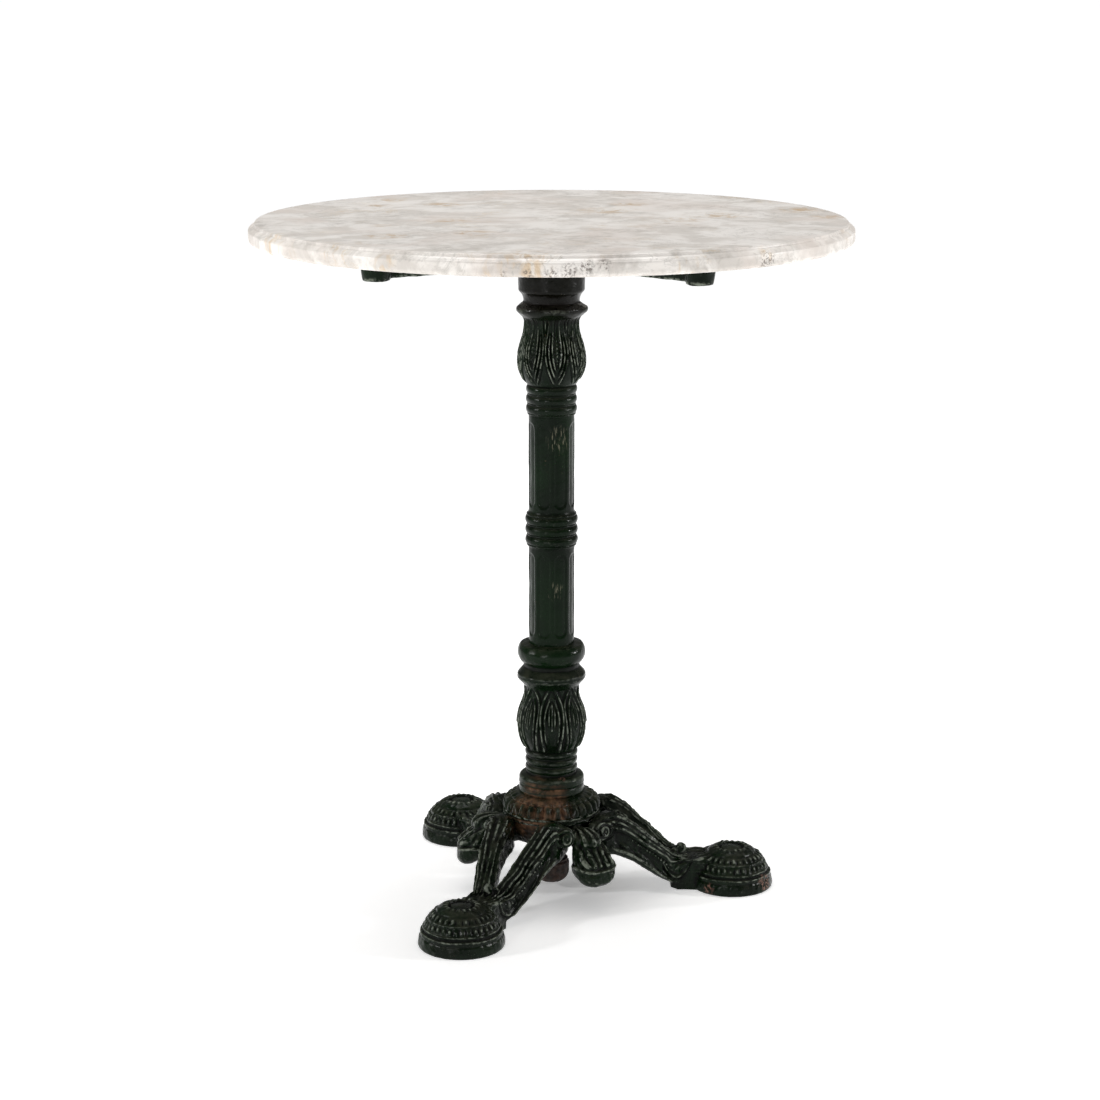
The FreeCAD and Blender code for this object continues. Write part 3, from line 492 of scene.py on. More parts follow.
def old_brass(name):
    """Tarnished brass with brushed turning marks."""
    g = Graph(name)
    marks = g.noise(1.2, 3, place=g.stretch((1, 1, 12)))
    colour = g.mix(g.span(g.noise(5, 4), 0.35, 0.65), rgb(150, 116, 62), rgb(104, 80, 46))
    g.bump(marks, 0.2, 0.1)
    return g.set(Base_Color=colour, Metallic=0.9, Roughness=g.span(marks, 0.3, 0.7, 0.3, 0.5))


def black_rubber(name):
    """Matt rubber with dust in its pores."""
    g = Graph(name)
    colour = g.mix(g.span(g.noise(2.5, 5, 0.6), 0.45, 0.7), rgb(28, 28, 27), rgb(62, 60, 56))
    g.bump(g.noise(0.8, 3), 0.4, 0.2)
    return g.set(Base_Color=colour, Roughness=g.span(g.noise(6, 3), 0.3, 0.7, 0.75, 0.95))


# Stains on the slab: degrees from the front, distance from the middle, size.
TAN_STAINS = (
    (-46, 217, 30), (-70, 174, 18), (-136, 247, 26), (-125, 221, 22), (-140, 176, 30), (-79, 104, 28),
    (-31, 145, 30), (-4, 282, 26), (144, 95, 40), (150, 162, 28), (86, 129, 30), (100, 174, 34),
    (108, 270, 40), (94, 276, 24))
# Stains and bruises on its edge: degrees from the front, height above the underside, size.
EDGE_STAINS = ((-9, 8, 26), (-3, 8, 24), (-62, 6, 30), (41, 14, 12), (-30, 4, 20), (24, 8, 18))
BRUISES = ((-8, 1, 7), (-4, 2, 9), (0, 3, 10), (3, 6, 11), (6, 9, 11), (9, 12, 9), (41, 6, 13))


def slab_edge_spots(places, softness):
    """Spots on the slab's edge, from degrees round it, height above the underside and size."""
    return [(front_point(turn, SLAB_RADIUS, SLAB_FOOT + up), size, softness) for turn, up, size in places]


def marble(name):
    """Creamy marble, clouded grey, with tan iron stains and a few rough bruises on its edge."""
    g = Graph(name)
    cloud = g.span(g.noise(48, 7, 0.62, 0.6), 0.4, 0.6)
    g.colour = g.mix(cloud, rgb(240, 235, 229), rgb(206, 200, 193))
    blush = g.span(g.noise(95, 4, 0.55, 0.5), 0.46, 0.66)
    g.layer(blush, 0.5, rgb(218, 206, 197))
    lines = g.math("ABSOLUTE", g.math("SUBTRACT", g.noise(64, 8, 0.66, 1.6), 0.5))
    grey = g.math("MULTIPLY", g.span(lines, 0.03, 0.0), g.span(g.noise(80, 3), 0.4, 0.62))
    g.layer(grey, 0.5, rgb(172, 168, 161))
    mottle = g.math("MULTIPLY", g.span(g.noise(15, 6, 0.65, 0.4), 0.46, 0.7),
                    g.span(g.noise(72, 3), 0.42, 0.62))
    g.layer(mottle, 0.7, rgb(176, 170, 162))
    tan_spots = [(front_point(turn, radius, SLAB_TOP), size, 0.2) for turn, radius, size in TAN_STAINS]
    ragged = g.span(g.noise(17, 7, 0.66, 1.2), 0.44, 0.62)
    g.layer(g.math("MULTIPLY", g.spots(tan_spots), ragged), 0.9, rgb(186, 158, 122))
    veins = g.math("ABSOLUTE", g.math("SUBTRACT", g.noise(90, 8, 0.68, 1.8), 0.47))
    veins = g.math("MULTIPLY", g.span(veins, 0.02, 0.0), g.span(g.noise(60, 4, 0.6), 0.5, 0.66))
    g.layer(veins, 0.5, rgb(200, 178, 146))
    streaks = g.span(g.noise(12, 6, 0.6, 0.8, g.stretch((1, 1, 0.3))), 0.46, 0.66)
    stain = g.math("MULTIPLY", g.spots(slab_edge_spots(EDGE_STAINS, 0.2)), streaks)
    g.layer(stain, 0.6, rgb(208, 176, 128))
    grit = g.span(g.noise(2.6, 6, 0.72, 0.4), 0.5, 0.57)
    bruise = g.math("MULTIPLY", g.spots(slab_edge_spots(BRUISES, 0.3)), grit)
    g.layer(bruise, 0.85, rgb(112, 102, 96))
    grain = g.math("ADD", g.noise(1.4, 3), g.math("MULTIPLY", bruise, -2.5))
    g.bump(grain, 0.25, 0.3)
    rough = g.math("ADD", g.span(cloud, 0, 1, 0.32, 0.45), g.math("MULTIPLY", bruise, 0.4))
    return g.set(Base_Color=g.colour, Roughness=rough, Specular_IOR_Level=0.35)


# ---- marble slab ---------------------------------------------------------------------


def slab_chips(angle, radius, height):
    """Small losses along the lower arris and at the bruises."""
    turn = np.degrees(np.angle(np.exp(1j * (angle - FRONT))))
    places = np.stack([radius * np.cos(angle), radius * np.sin(angle),
                       height + 0 * angle], -1)
    fine = np.maximum(waves(places, 5.5, 11) + waves(places, 2.6, 12) * 0.7 - 0.55, 0)
    edge = rise(radius, SLAB_RADIUS - 9, SLAB_RADIUS - 5)
    loss = hump(height - SLAB_FOOT - 0.5, 2.6) * 0.45
    for at, up, size in BRUISES:
        away = (turn - at) * SLAB_RADIUS * math.pi / 180
        loss = loss + hump(np.hypot(away, height - SLAB_FOOT - up), size * 0.5) * 0.9
    return -edge * fine * loss


def make_slab(material):
    """A disc with a rounded lower arris, a flat band and a cove under a small round on top."""
    flat_step = 49.0
    edge_step = 0.6
    columns = 900
    under = trace((
        (0.0, SLAB_FOOT),
        (SLAB_RADIUS - 6, SLAB_FOOT)), flat_step)
    edge = trace((
        (SLAB_RADIUS - 6, SLAB_FOOT),
        (SLAB_RADIUS - 4.2, SLAB_FOOT + 0.2, 4.4),
        (SLAB_RADIUS, SLAB_FOOT + 4.4),
        (SLAB_RADIUS, SLAB_FOOT + 11.6, 2.6),
        (SLAB_RADIUS - 1.6, SLAB_FOOT + 14.2, 9.0),
        (SLAB_RADIUS - 5.6, SLAB_FOOT + 16.8, -3.0),
        (SLAB_RADIUS - 6.2, SLAB_TOP - 1.6, 1.7),
        (SLAB_RADIUS - 7.9, SLAB_TOP)), edge_step)
    top = trace((
        (SLAB_RADIUS - 7.9, SLAB_TOP),
        (0.0, SLAB_TOP)), flat_step)
    section = np.vstack([under[1:], edge[1:], top[1:-1]])
    angles = np.arange(columns) * (2 * math.pi / columns)
    lift = slab_chips(angles[None, :], section[:, :1], section[:, 1:])
    normals = section_normals(section)
    radius = section[:, :1] + normals[:, :1] * lift
    height = np.clip(section[:, 1:] + normals[:, 1:] * lift, SLAB_FOOT, SLAB_TOP)
    points = np.stack([radius * np.cos(angles), radius * np.sin(angles), height], -1)
    points = np.vstack([points.reshape(-1, 3), [(0, 0, SLAB_FOOT), (0, 0, SLAB_TOP)]])
    faces = ring_faces(len(section), columns, False)
    foot_pole = len(points) - 2
    last = (len(section) - 1) * columns
    for j in range(columns):
        k = (j + 1) % columns
        faces.append((foot_pole, k, j))
        faces.append((foot_pole + 1, last + j, last + k))
    piece = new_piece("slab", points, faces)
    return finish_piece(piece, material, "marble", "marble_top")


# ---- column castings -----------------------------------------------------------------


# The plain insides: a bore for the tie rod, wider chambers, and a spigot of each casting
# in a socket of the next.
BORE = 15.0
CHAMBER = 20.0
CHAMBER_TAPER = 8.0
SPIGOT_LENGTH = 6.0
SOCKET_DEPTH = 7.0
SPIGOT_GAP = 0.3


def socket_above(radius, top):
    return ((radius, top), (radius, top - SOCKET_DEPTH), (BORE, top - SOCKET_DEPTH))


def socket_below(radius):
    return ((BORE, SOCKET_DEPTH), (radius, SOCKET_DEPTH), (radius, 0))


def spigot_above(radius, top):
    return ((radius - SPIGOT_GAP, top), (radius - SPIGOT_GAP, top + SPIGOT_LENGTH),
            (BORE, top + SPIGOT_LENGTH))


def spigot_below(radius):
    return ((BORE, -SPIGOT_LENGTH), (radius - SPIGOT_GAP, -SPIGOT_LENGTH), (radius - SPIGOT_GAP, 0))


def chamber(top, foot):
    return ((BORE, top), (CHAMBER, top - CHAMBER_TAPER), (CHAMBER, foot + CHAMBER_TAPER), (BORE, foot))


def cast_skin(angle, radius, height, seed):
    """The slight unevenness of a sand casting under thick paint."""
    places = np.stack([radius * np.cos(angle), radius * np.sin(angle),
                       height + 0 * angle], -1)
    return waves(places, 26, seed) * 0.14 + waves(places, 7, seed + 1) * 0.07


def leaf_field(angle, radius, share, middle, width, leaves):
    """Raised outlines of leaves side by side round a bulb, each between two furrows.
    share runs from a leaf's tip (0) to its open end (1); middle is one leaf's direction in degrees.
    Each of leaves is (half width in degrees, tip, fullness, height)."""
    off = np.abs((angle - math.radians(middle) + PETAL_PITCH / 2) % PETAL_PITCH - PETAL_PITCH / 2)
    total = np.zeros(np.broadcast(angle, share).shape)
    for half_width, tip, fullness, height in leaves:
        opening = np.clip((share - tip) / (1 - tip), 0, 1)
        swell = np.sin(np.clip(opening / fullness, 0, 1) * math.pi / 2) ** 0.75
        close = 1 - 0.25 * rise(opening, fullness, 1.0)
        outside = (off - math.radians(half_width) * swell * close) * radius
        there = rise(share, tip - 0.02, tip + 0.12)
        ridge = (hump(outside, width) - 0.55 * hump(outside - 2.3 * width, width)
                 - 0.45 * hump(outside + 2.3 * width, width))
        total = total + there * height * ridge
    return total


def capital_relief(angle, radius, height):
    """Eight nested leaves that point down, open at the neck, with a wavy lip above."""
    z = height - CAPITAL_SEAT
    middle = -82.3
    leaves = ((20.0, -0.05, 0.6, 1.5), (14.2, 0.08, 0.55, 1.6), (8.4, 0.2, 0.5, 1.6))
    share = (z - 33.0) / (96.0 - 33.0)
    window = rise(z, 31, 36) * rise(z, 101, 94)
    total = (leaf_field(angle, radius, share, middle, 0.8, leaves) - 0.4) * window
    off = (angle - math.radians(middle)) % PETAL_PITCH
    off = np.minimum(off, PETAL_PITCH - off)
    side = off * radius
    vein_pitch = 2.4
    veins = 0.5 + 0.5 * np.cos(side * 2 * math.pi / vein_pitch)
    bud = hump(side / 3.4, 1.0) * rise(z, 50, 58) * rise(z, 86, 76)
    total = total + 1.3 * bud * veins * (0.6 + 0.4 * np.cos(z * 1.6))
    between = (PETAL_PITCH / 2 - off) * radius
    total = total + 1.2 * hump(between, 0.9) * rise(z, 66, 74) * rise(z, 101, 94)
    lip_wave = 0.9 * np.cos(angle * 5 + 1) * hump(z - 107, 3.5)
    return total + lip_wave + cast_skin(angle, radius, height, 21)


def make_capital(material):
    """Three beads, the leaf bulb, a neck, a flared lip and a plain flange under the bracket."""
    top = 146.0
    bead = 25.9
    groove = bead - 1.6
    outside = trace(beads(0.0, 30.0, groove, bead, 3) + (
        (groove, 30.0, 37.0),
        (33.8, 55.5, 66.0),
        (30.2, 75.0, -58.0),
        (27.3, 90.0),
        (27.3, 94.0, -9.0),
        (31.4, 100.3),
        (35.2, 104.4, 4.6),
        (35.3, 109.0),
        (28.4, 113.8),
        (28.2, 115.2, -14.0),
        (32.2, 124.0, 4.0),
        (33.5, 127.5),
        (33.5, top)), 0.7)
    inside = socket_above(25, top) + chamber(130, 30) + spigot_below(18)
    piece = turned("capital_casting", CAPITAL_SEAT, outside, inside, capital_relief, 320)
    return finish_piece(piece, material, "painted_iron", "capital",
                        joints=(CAPITAL_SEAT, CAPITAL_SEAT + top))


def shaft_relief(angle, radius, height):
    """Eight shallow panels with round ends above and below the rings."""
    z = height - SHAFT_SEAT
    front = -90.0
    half_width = 7.6
    depth = 1.0
    off = ((angle - math.radians(front)) % PETAL_PITCH - PETAL_PITCH / 2) * radius
    total = 0
    for foot, head in ((8.0, 96.0), (143.0, 231.0)):
        beyond = np.maximum(np.maximum(foot + half_width - z, z - head + half_width), 0)
        inside = half_width - np.hypot(off, beyond)
        total = total - depth * rise(inside, -0.6, 2.6)
    return total + cast_skin(angle, radius, height, 31)


def make_shaft(material):
    """A straight tube with three rings round its middle."""
    top = 238.0
    radius = 23.2
    groove = 25.1
    outside = trace((
        (radius, 0.0),
        (radius, 99.0, -6.0),
        (24.6, 103.0)) + beads(103.0, 134.2, groove, 26.9, 3) + (
        (groove, 134.2, 1.3),
        (groove, 136.0),
        (24.6, 136.0, -6.0),
        (radius, 140.0),
        (radius, top)), 0.75)
    inside = socket_above(18, top) + socket_below(18)
    piece = turned("shaft_tube", SHAFT_SEAT, outside, inside, shaft_relief, 288)
    return finish_piece(piece, material, "painted_iron", "shaft",
                        joints=(SHAFT_SEAT, CAPITAL_SEAT))


def baluster_relief(angle, radius, height):
    """Eight arched leaves that point up, each with a veined bud, over smooth ribs."""
    z = height - BALUSTER_SEAT
    middle = -91.0
    share = (115.0 - z) / (115.0 - 47.0)
    window = rise(z, 47, 52) * rise(z, 117, 113)
    outer = leaf_field(angle, radius, share, middle, 1.15, ((20.6, -0.03, 0.34, 1.7),))
    inner = leaf_field(angle, radius, share, middle, 0.9, ((13.0, 0.1, 0.4, 1.3),))
    total = (outer + inner * rise(z, 52, 64)) * window
    off = (angle - math.radians(middle) + PETAL_PITCH / 2) % PETAL_PITCH - PETAL_PITCH / 2
    side = off * radius
    vein_pitch = 2.9
    veins = 0.45 + 0.55 * np.cos(side * 2 * math.pi / vein_pitch)
    bud = (side / 4.6) ** 2 + ((z - 87.0) / 14.0) ** 2
    total = total + 1.2 * rise(bud, 1.2, 0.6) * veins - 0.5 * hump(bud - 1.3, 0.25)
    bud_tip = 0.4 * hump(np.hypot(side, z - 74.0), 2.2)
    lip_groove = 0.5 * hump(z - 125.4, 0.9)
    plinth_line = 0.4 * hump(z - 11.2, 1.2) - 0.8 * hump(z - 9.0, 0.9)
    return total + bud_tip - lip_groove + plinth_line + cast_skin(angle, radius, height, 41)


def make_baluster(material):
    """A plinth, three beads, the leaf bulb, a neck, a flared lip and a tall roll under the shaft."""
    top = 160.0
    bead = 27.2
    groove = bead - 1.6
    outside = trace((
        (32.7, 0.0),
        (33.7, 1.5),
        (33.7, 15.5, 4.0),
        (31.2, 19.0),
        (26.2, 20.5)) + beads(21.5, 46.5, groove, bead, 3) + (
        (groove, 46.5, 43.0),
        (35.3, 73.7, 53.0),
        (31.5, 93.0, -44.0),
        (27.6, 107.5),
        (27.5, 112.3, -7.0),
        (29.4, 116.0),
        (34.6, 122.0, 5.5),
        (34.3, 128.6),
        (28.8, 134.8),
        (28.8, 137.0, -4.0),
        (29.8, 139.2, 14.1),
        (31.8, 158.8),
        (24.6, top)), 0.75)
    inside = spigot_above(18, top) + chamber(150, 30) + spigot_below(20)
    piece = turned("baluster_casting", BALUSTER_SEAT, outside, inside, baluster_relief, 320)
    return finish_piece(piece, material, "painted_iron", "baluster",
                        joints=(BALUSTER_SEAT, SHAFT_SEAT))


def collar_relief(angle, radius, height):
    """A dome of radial lobes that end in round beads above a plain fillet."""
    z = height - COLLAR_SEAT
    lobes = 30
    bead_circle = 47.4
    groove_circle = 43.8
    lobe = np.abs(np.cos(angle * lobes / 2))
    above_fillet = rise(z, 2, 5)
    dome = rise(radius, 35.5, 44) * rise(z, 2.2, 4.5) * (2.4 * lobe - 1.5)
    bead = hump(radius - bead_circle, 1.9) * above_fillet * (2.2 * lobe ** 2 - 1.1)
    groove = 0.9 * hump(radius - groove_circle, 0.9) * above_fillet
    return dome + bead - groove + cast_skin(angle, radius, height, 51)


def make_collar(material):
    """A low dome between the hub and the foot of the column."""
    top = 20.0
    rim = 50.0
    outside = trace((
        (rim - 0.8, 0.0),
        (rim, 1.2),
        (rim, 4.0, 19.0),
        (34.5, top)), 0.45)
    inside = socket_above(20, top) + spigot_below(25)
    piece = turned("collar_casting", COLLAR_SEAT, outside, inside, collar_relief, 720)
    return finish_piece(piece, material, "painted_iron", "gadroon_collar")


# ---- base ----------------------------------------------------------------------------


def drop_relief(points, uneven):
    """The drop that points along +X: a veined neck, lobes with two curls, and a rimmed round foot."""
    out, side, z = points.T
    own = rise(out, 50, 56) * (np.abs(side) < 26) * rise(z, 24, 28)
    neck = own * rise(z, 62, 67) * rise(out, 86, 78)
    vein_pitch = 3.6 + 5.0 * rise(out, 52, 80)
    fan = np.abs(np.cos(side / vein_pitch * math.pi)) ** 1.5
    total = neck * (2.2 * fan - 1.2)
    front = own * rise(out, 72, 82) * rise(z, 47, 50) * rise(z, 68, 62)
    lobe_pitch = 7.4 + uneven
    total += front * (2.6 * np.abs(np.cos(side * math.pi / lobe_pitch)) - 1.5)
    from_curl = np.hypot(np.abs(side) - 9.0, z - 56.0)
    total += front * hump(from_curl - 5.0, 1.1)
    rim = z - 44.5 - 3.0 * (side / 20) ** 2
    return total + own * rise(out, 66, 76) * (1.2 * hump(rim, 1.1) - 1.4 * hump(rim - 3.0, 1.4))


def hub_relief(points, normals):
    """Cast unevenness, the three drops and a soft bead round the dish."""
    total = waves(points, 22, 61) * 0.25 + waves(points, 6, 62) * 0.18
    uneven = waves(points, 26, 63)
    for angle in DROP_ANGLES:
        total += drop_relief(turn_points(points, -angle), uneven)
    reach = np.hypot(points[:, 0], points[:, 1])
    return total + 0.4 * hump(points[:, 2] - 76, 2.5) * (reach > 44) * (reach < 54)


def make_hub(material):
    """The dish, with a swelling on each drop's neck and two on its foot."""
    extras = []
    for angle in DROP_ANGLES:
        extras.append(lump((64, 0, 70), (20, 15, 11), angle))
        extras += [lump((81, side * 9, 46), (17, 14, 14), angle) for side in (-1, 1)]
    piece = recast("hub_casting", "base_hub", extras, 0.92, 4)
    emboss(piece, hub_relief)
    return finish_piece(piece, material, "painted_iron", "base_hub")


# How far out from the column a leg's knuckle, ankle and round foot are.
KNUCKLE_OUT = 39.6
ANKLE_OUT = 142.0
FOOT_OUT = 189.0


def limb_course(points):
    """Where the limbs run: their middle to the side, and their lower and upper heights, by reach."""
    out, side, z = points[:, 0], np.abs(points[:, 1]), points[:, 2]
    step = 4.0
    reaches = np.arange(KNUCKLE_OUT + 8, ANKLE_OUT, step)
    rows = []
    for reach in reaches:
        near = np.abs(out - reach) < step / 2
        rows.append(((side[near].min() + side[near].max()) / 2, z[near].min(), z[near].max()))
    rows = np.array(rows)
    return [np.interp(out, reaches, rows[:, i]) for i in range(3)]


# Ridges along a limb: degrees round its section from the outer side over the top, and height.
RIDGES = ((148, 1.0), (122, 1.3), (96, 1.2), (70, 2.0), (49, 1.9), (36, 1.6))


def ridge_relief(points, turn):
    """Uneven ridges along the top of a limb, each between two furrows."""
    total = 0
    uneven = 1 + 0.4 * waves(points, 17, 74)
    for at, height in RIDGES:
        furrows = hump(turn - at - 9, 5) + hump(turn - at + 9, 5)
        total += height * uneven * (hump(turn - at, 4.0) - 0.5 * furrows)
    return total


def panel_relief(points, along, turn):
    """A sunk panel on the outer side of a limb, with a scalloped edge below and pearls above."""
    out, z = points[:, 0], points[:, 2]
    sunk = rise(turn, -30, -24) * rise(turn, 26, 20)
    scallops = np.abs(np.cos((out + z * 0.8) * math.pi / 8.5))
    pearls = np.abs(np.cos((out - z * 0.8) * math.pi / 5.0)) * rise(along, 0.35, 0.45)
    total = 1.4 * hump(turn + 33, 4) - 2.8 * sunk
    total += 2.2 * hump(turn + 20, 6) * scallops + 2.4 * hump(turn - 15, 4.5) * pearls
    return total * rise(along, 0.2, 0.27) * rise(along, 0.9, 0.8)


def knuckle_relief(points):
    """Rings round a point on the outer side of each knuckle, like a curl seen from its end."""
    side = points[:, 1]
    pole = np.stack([np.full(len(side), 55.0), np.sign(side) * 48.0, np.full(len(side), 75.0)], 1)
    away = np.linalg.norm(points - pole, axis=1)
    ring_pitch = 5.0
    return np.cos(away * 2 * math.pi / ring_pitch) * rise(away, 16, 11)


def ankle_relief(points):
    """A leaf edge that curves round the side of the ankle, with a swelling above it."""
    out, side, z = points.T
    own = rise(np.abs(side), 12, 16) * rise(out, 112, 117) * rise(out, 149, 144) * rise(z, 33, 29)
    edge = z - 15.5 - 0.08 * (out - 131) ** 2
    return own * (1.8 * hump(edge, 1.4) - 1.0 * hump(edge + 3.0, 1.4) + 1.2 * hump(edge - 9.0, 4.5))


def foot_relief(points, normals):
    """Fine ledges, rings of small beads and a button in the middle of the round foot."""
    out, side, z = points.T
    across = np.hypot(out - FOOT_OUT, side)
    around = np.arctan2(side, out - FOOT_OUT)
    outward = ((points - (FOOT_OUT, 0, 0)) * normals).sum(1)
    own = rise(out, ANKLE_OUT + 3, ANKLE_OUT + 14) * rise(outward, 0, 8)
    uneven = 1 + 0.5 * waves(points, 13, 75)
    level = z + 0.25 * np.cos(around * 5)
    total = 0.9 * hump(level - 16.0, 0.9) - 0.9 * hump(level - 18.2, 1.0) + 0.8 * hump(level - 20.4, 0.9)
    total = (total - 0.6 * hump(z - 12.5, 0.9)) * rise(normals[:, 2], 0.9, 0.6)
    for height, count, size in ((25.5, 17, 2.4), (33.5, 14, 2.2)):
        beads_here = np.abs(np.cos(around * count))
        total += uneven * hump(z - height, size) * (2.2 * beads_here - 1.2)
    total += 0.9 * hump(z - 29.6, 1.0) - 0.8 * hump(z - 37.0, 0.9)
    pips = uneven * hump(across - 16.5, 2.2) * (1.9 * np.abs(np.cos(around * 9)) - 0.9)
    button = 0.8 * hump(across - 9.5, 1.1) - 0.8 * hump(across - 12.2, 1.2)
    return own * (total + rise(z, 36, 38) * (pips + button))


def leg_relief(points, normals):
    """Ridged limbs with a sunk panel outside, a curled knuckle, an ankle leaf and a ringed foot."""
    out, side, z = points.T
    middle, foot, head = limb_course(points)
    along = (out - KNUCKLE_OUT) / (ANKLE_OUT - KNUCKLE_OUT)
    turn = np.degrees(np.arctan2((z - (foot + head) / 2) / 18.0, (np.abs(side) - middle) / 12.5))
    turn += waves(points, 34, 73) * 4
    limb = rise(along, 0.12, 0.24) * rise(along, 1.1, 0.96)
    total = waves(points, 24, 71) * 0.3 + waves(points, 7, 72) * 0.2
    total += limb * (ridge_relief(points, turn) + panel_relief(points, along, turn))
    total += knuckle_relief(points) + ankle_relief(points) + foot_relief(points, normals)
    return total * rise(z, 0.0, 3.0) - 0.6 * limb


def leg_extras():
    """The small ball on the ankle, the roll behind it and curled bosses on the knuckles."""
    extras = [lump((136, 0, 41), (4.6, 5.5, 5.0)), lump((129.5, 0, 34), (5.5, 10, 6.0))]
    extras += [lump((47, side * 38.5, 74), (12.5, 12, 11)) for side in (-1, 1)]
    extras += [lump((129, side * 6, 38), (4, 3.5, 4.5)) for side in (-1, 1)]
    extras.append(lump((FOOT_OUT, 0, 38.2), (11, 11, 3.6)))
    return extras


def make_legs(material):
    """One leg, skinned and embossed, then repeated round the column."""
    pattern = recast("leg_pattern", "leg_right", leg_extras(), 0.95, 4)
    emboss(pattern, leg_relief)
    points = read_points(pattern)
    points[:, 2] = np.maximum(points[:, 2], 0)
    for name, angle in LEG_ANGLES.items():
        piece = bpy.data.objects.new(name + "_casting", pattern.data.copy())
        bpy.context.scene.collection.objects.link(piece)
        write_points(piece, turn_points(points, angle))
        finish_piece(piece, material, "painted_iron", name)
    bpy.data.objects.remove(pattern)


# ---- bracket and rod -----------------------------------------------------------------


def make_bracket(material):
    """The four-armed casting under the slab, with the slight unevenness of sand casting."""
    piece = recast("bracket_casting", "top_bracket", [], 1.2, 2)
    emboss(piece, lambda points, normals: waves(points, 20, 81) * 0.2 + waves(points, 6, 82) * 0.1)
    return finish_piece(piece, material, "painted_iron", "top_bracket")


def make_cap_nut(material):
    """The domed nut under the hub, pitted by rust."""
    piece = recast("cap_nut", "tie_rod_cap_nut", [], 0.45, 2)
    emboss(piece, lambda points, normals: waves(points, 5, 91) * 0.12)
    return finish_piece(piece, material, "bare_iron", "tie_rod_cap_nut")


def keep(node, material):
    """A CAD node that stays in view, with a better finish."""
    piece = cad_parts[node]
    piece.data.materials.clear()
    piece.data.materials.append(material)


# ---- stage ---------------------------------------------------------------------------


def make_floor():
    """A wide pale sheet that glows a little, less so under the table so that its shadow shows, and less
    again in a painted shadow under the base.
    """
    half = 60.0
    mesh = bpy.data.meshes.new("floor")
    mesh.from_pydata([(-half, -half, 0), (half, -half, 0), (half, half, 0), (-half, half, 0)],
                     [], [(0, 1, 2, 3)])
    floor = bpy.data.objects.new("floor", mesh)
    bpy.context.scene.collection.objects.link(floor)
    g = Graph("floor_paper")
    glow = 0.8
    # The wide fall keeps the far floor white; the small spot under the base is a painted shadow.
    for centre, radius, loss in (((0, 0, 0), 2600, 0.3), ((20, -20, 0), 140, 0.26)):
        glow = g.math("SUBTRACT", glow, g.math("MULTIPLY", g.near(centre, radius, 0.1), loss))
    floor.data.materials.append(g.set(
        Base_Color=(0.9, 0.9, 0.9, 1), Roughness=0.9, Specular_IOR_Level=0.1,
        Emission_Color=(1, 1, 1, 1), Emission_Strength=glow))


def add_light(name, place, target, energy, size):
    data = bpy.data.lights.new(name, "AREA")
    data.energy = energy
    data.size = size
    light = bpy.data.objects.new(name, data)
    light.location = place
    light.rotation_euler = (Vector(target) - Vector(place)).to_track_quat("-Z", "Y").to_euler()
    bpy.context.scene.collection.objects.link(light)


def make_lights():
    """A dim even world, three small lights low round the front and a broad one above the slab."""
    world = bpy.data.worlds.new("studio")
    world.use_nodes = True
    background = world.node_tree.nodes["Background"]
    background.inputs["Color"].default_value = (1, 1, 1, 1)
    background.inputs["Strength"].default_value = 0.25
    bpy.context.scene.world = world
    add_light("left", (-2.3, -0.7, 1.0), (0, 0, 0.35), 20, 0.2)
    add_light("front_left", (-1.2, -2.5, 0.7), (0, 0, 0.35), 9, 0.14)
    add_light("right", (2.4, -0.3, 0.9), (0, 0, 0.35), 22, 0.2)
    add_light("top", (0, 0.5, 3.0), (0, 0, 0.7), 53, 1.6)


def make_camera():
    """A long lens, a little above the slab and looking slightly down on it."""
    distance = 2.6613
    height = 0.990
    pitch = math.radians(13.27)
    aim_past_column = math.radians(0.034)
    heading = FRONT + math.pi + aim_past_column
    data = bpy.data.cameras.new("camera")
    data.lens = 87.64
    data.sensor_width = 36
    camera = bpy.data.objects.new("camera", data)
    camera.location = (distance * math.cos(FRONT), distance * math.sin(FRONT), height)
    way = Vector((math.cos(heading) * math.cos(pitch), math.sin(heading) * math.cos(pitch),
                  -math.sin(pitch)))
    camera.rotation_euler = way.to_track_quat("-Z", "Y").to_euler()
    bpy.context.scene.collection.objects.link(camera)
    bpy.context.scene.camera = camera
    bpy.context.scene.view_settings.view_transform = "Standard"


# ---- all together --------------------------------------------------------------------


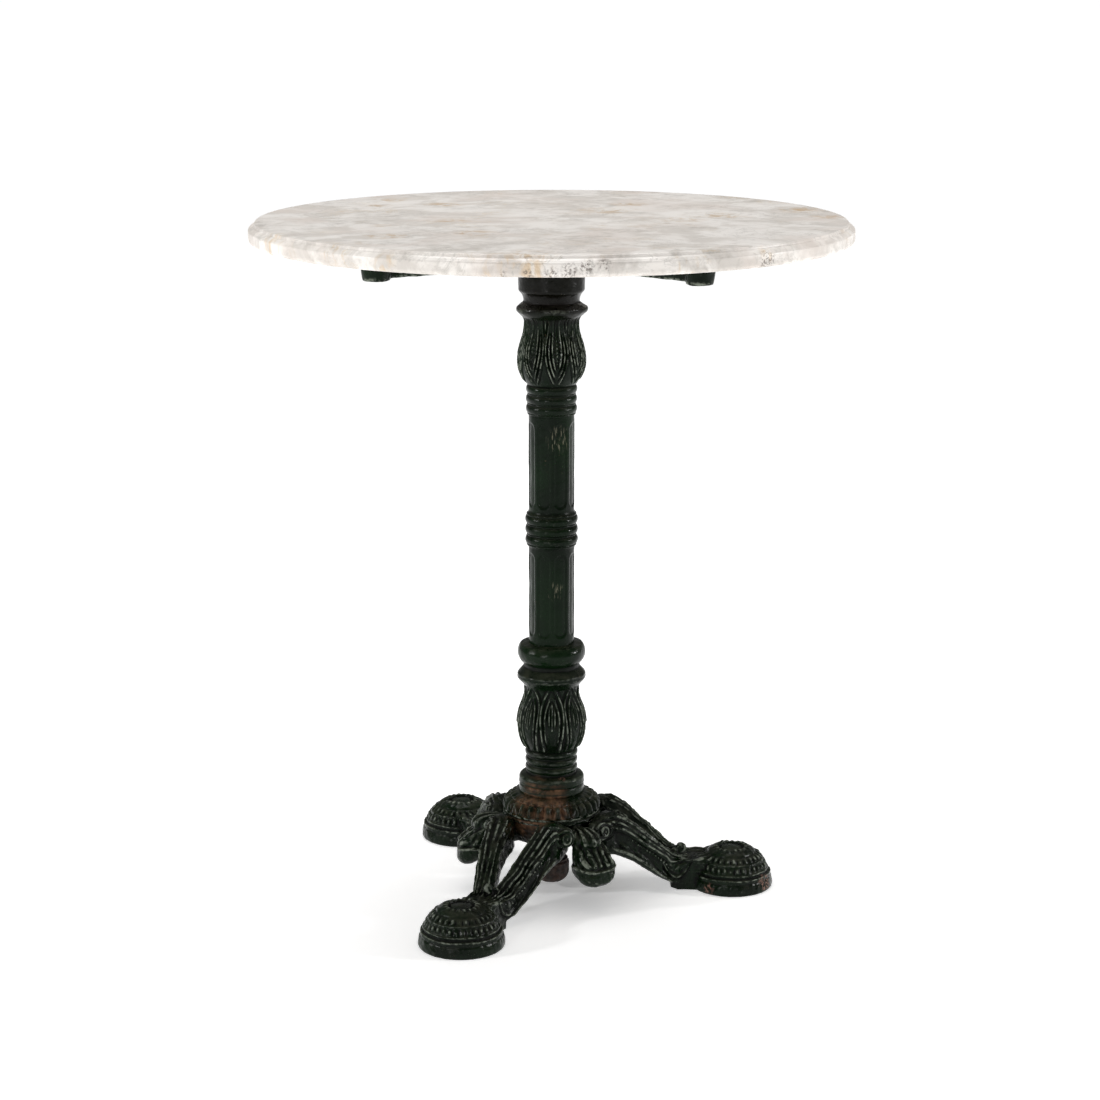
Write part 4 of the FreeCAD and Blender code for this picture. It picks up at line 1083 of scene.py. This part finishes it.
def make_castings():
    """The column and the base, each with the dirt and wear of its place, painted shade and highlights on
    the relief, and a painted shadow on the capital under the slab.
    """
    column_paint = painted_iron(
        "column_paint", 0.25, gloss=0.085,
        scratch_spots=[(front_point(20, 24, 481), 17, 0.4), (front_point(10, 24, 324), 12, 0.4)])
    # The capital's top flange under the slab gets a painted shadow.
    capital_paint = painted_iron("capital_paint", 0.25, painted_shadow_spots=[((0, 0, 650), 62, 0.8)])
    foot_paint = painted_iron(
        "column_foot_paint", 0.35,
        rust_spots=[(front_point(-30, 33, 110), 22, 0.4), (front_point(5, 33, 110), 18, 0.4),
                    (front_point(150, 33, 110), 22, 0.3)],
        chip_spots=[(front_point(14, 28, 122), 5, 0.5), (front_point(24, 28, 123), 5, 0.5)])
    collar_paint = painted_iron(
        "collar_paint", 0.6, gloss=0.13, painted_hollow_shade=0.6,
        rust_spots=[(front_point(-35, 46, 92), 32, 0.5), (front_point(0, 44, 96), 26, 0.5),
                    (front_point(150, 44, 96), 30, 0.5)])
    base_paint = painted_iron(
        "base_paint", 0.3, gloss=0.13,
        rust_spots=[(front_point(-25, 50, 84), 30), (front_point(70, 50, 60), 22)],
        chip_spots=[((164, -32, 6), 8), ((222, -26, 10), 12), ((-62, -128, 24), 8),
                    ((-110, 200, 8), 12)])
    make_capital(capital_paint)
    make_shaft(column_paint)
    make_baluster(foot_paint)
    make_collar(collar_paint)
    make_hub(base_paint)
    make_legs(base_paint)
    make_bracket(column_paint)


def finish_fixings():
    """The rod, nuts, screws, washers, anchors and pads."""
    rusty = rusty_iron("rusty_iron")
    make_cap_nut(rusty)
    keep("tie_rod_bottom_washer", rusty)
    steel = zinc_steel("zinc_steel")
    for node in ("bracket_screws", "bracket_screw_washers", "leg_bolts", "leg_washers", "tie_rod",
                 "tie_rod_top_washer", "tie_rod_top_nut"):
        keep(node, steel)
    keep("marble_anchors", old_brass("old_brass"))
    keep("bracket_pads", black_rubber("black_rubber"))


make_camera()
make_lights()
make_floor()
make_slab(marble("marble"))
make_castings()
finish_fixings()


def corners(box):
    return [list(box[0]), list(box[1])]
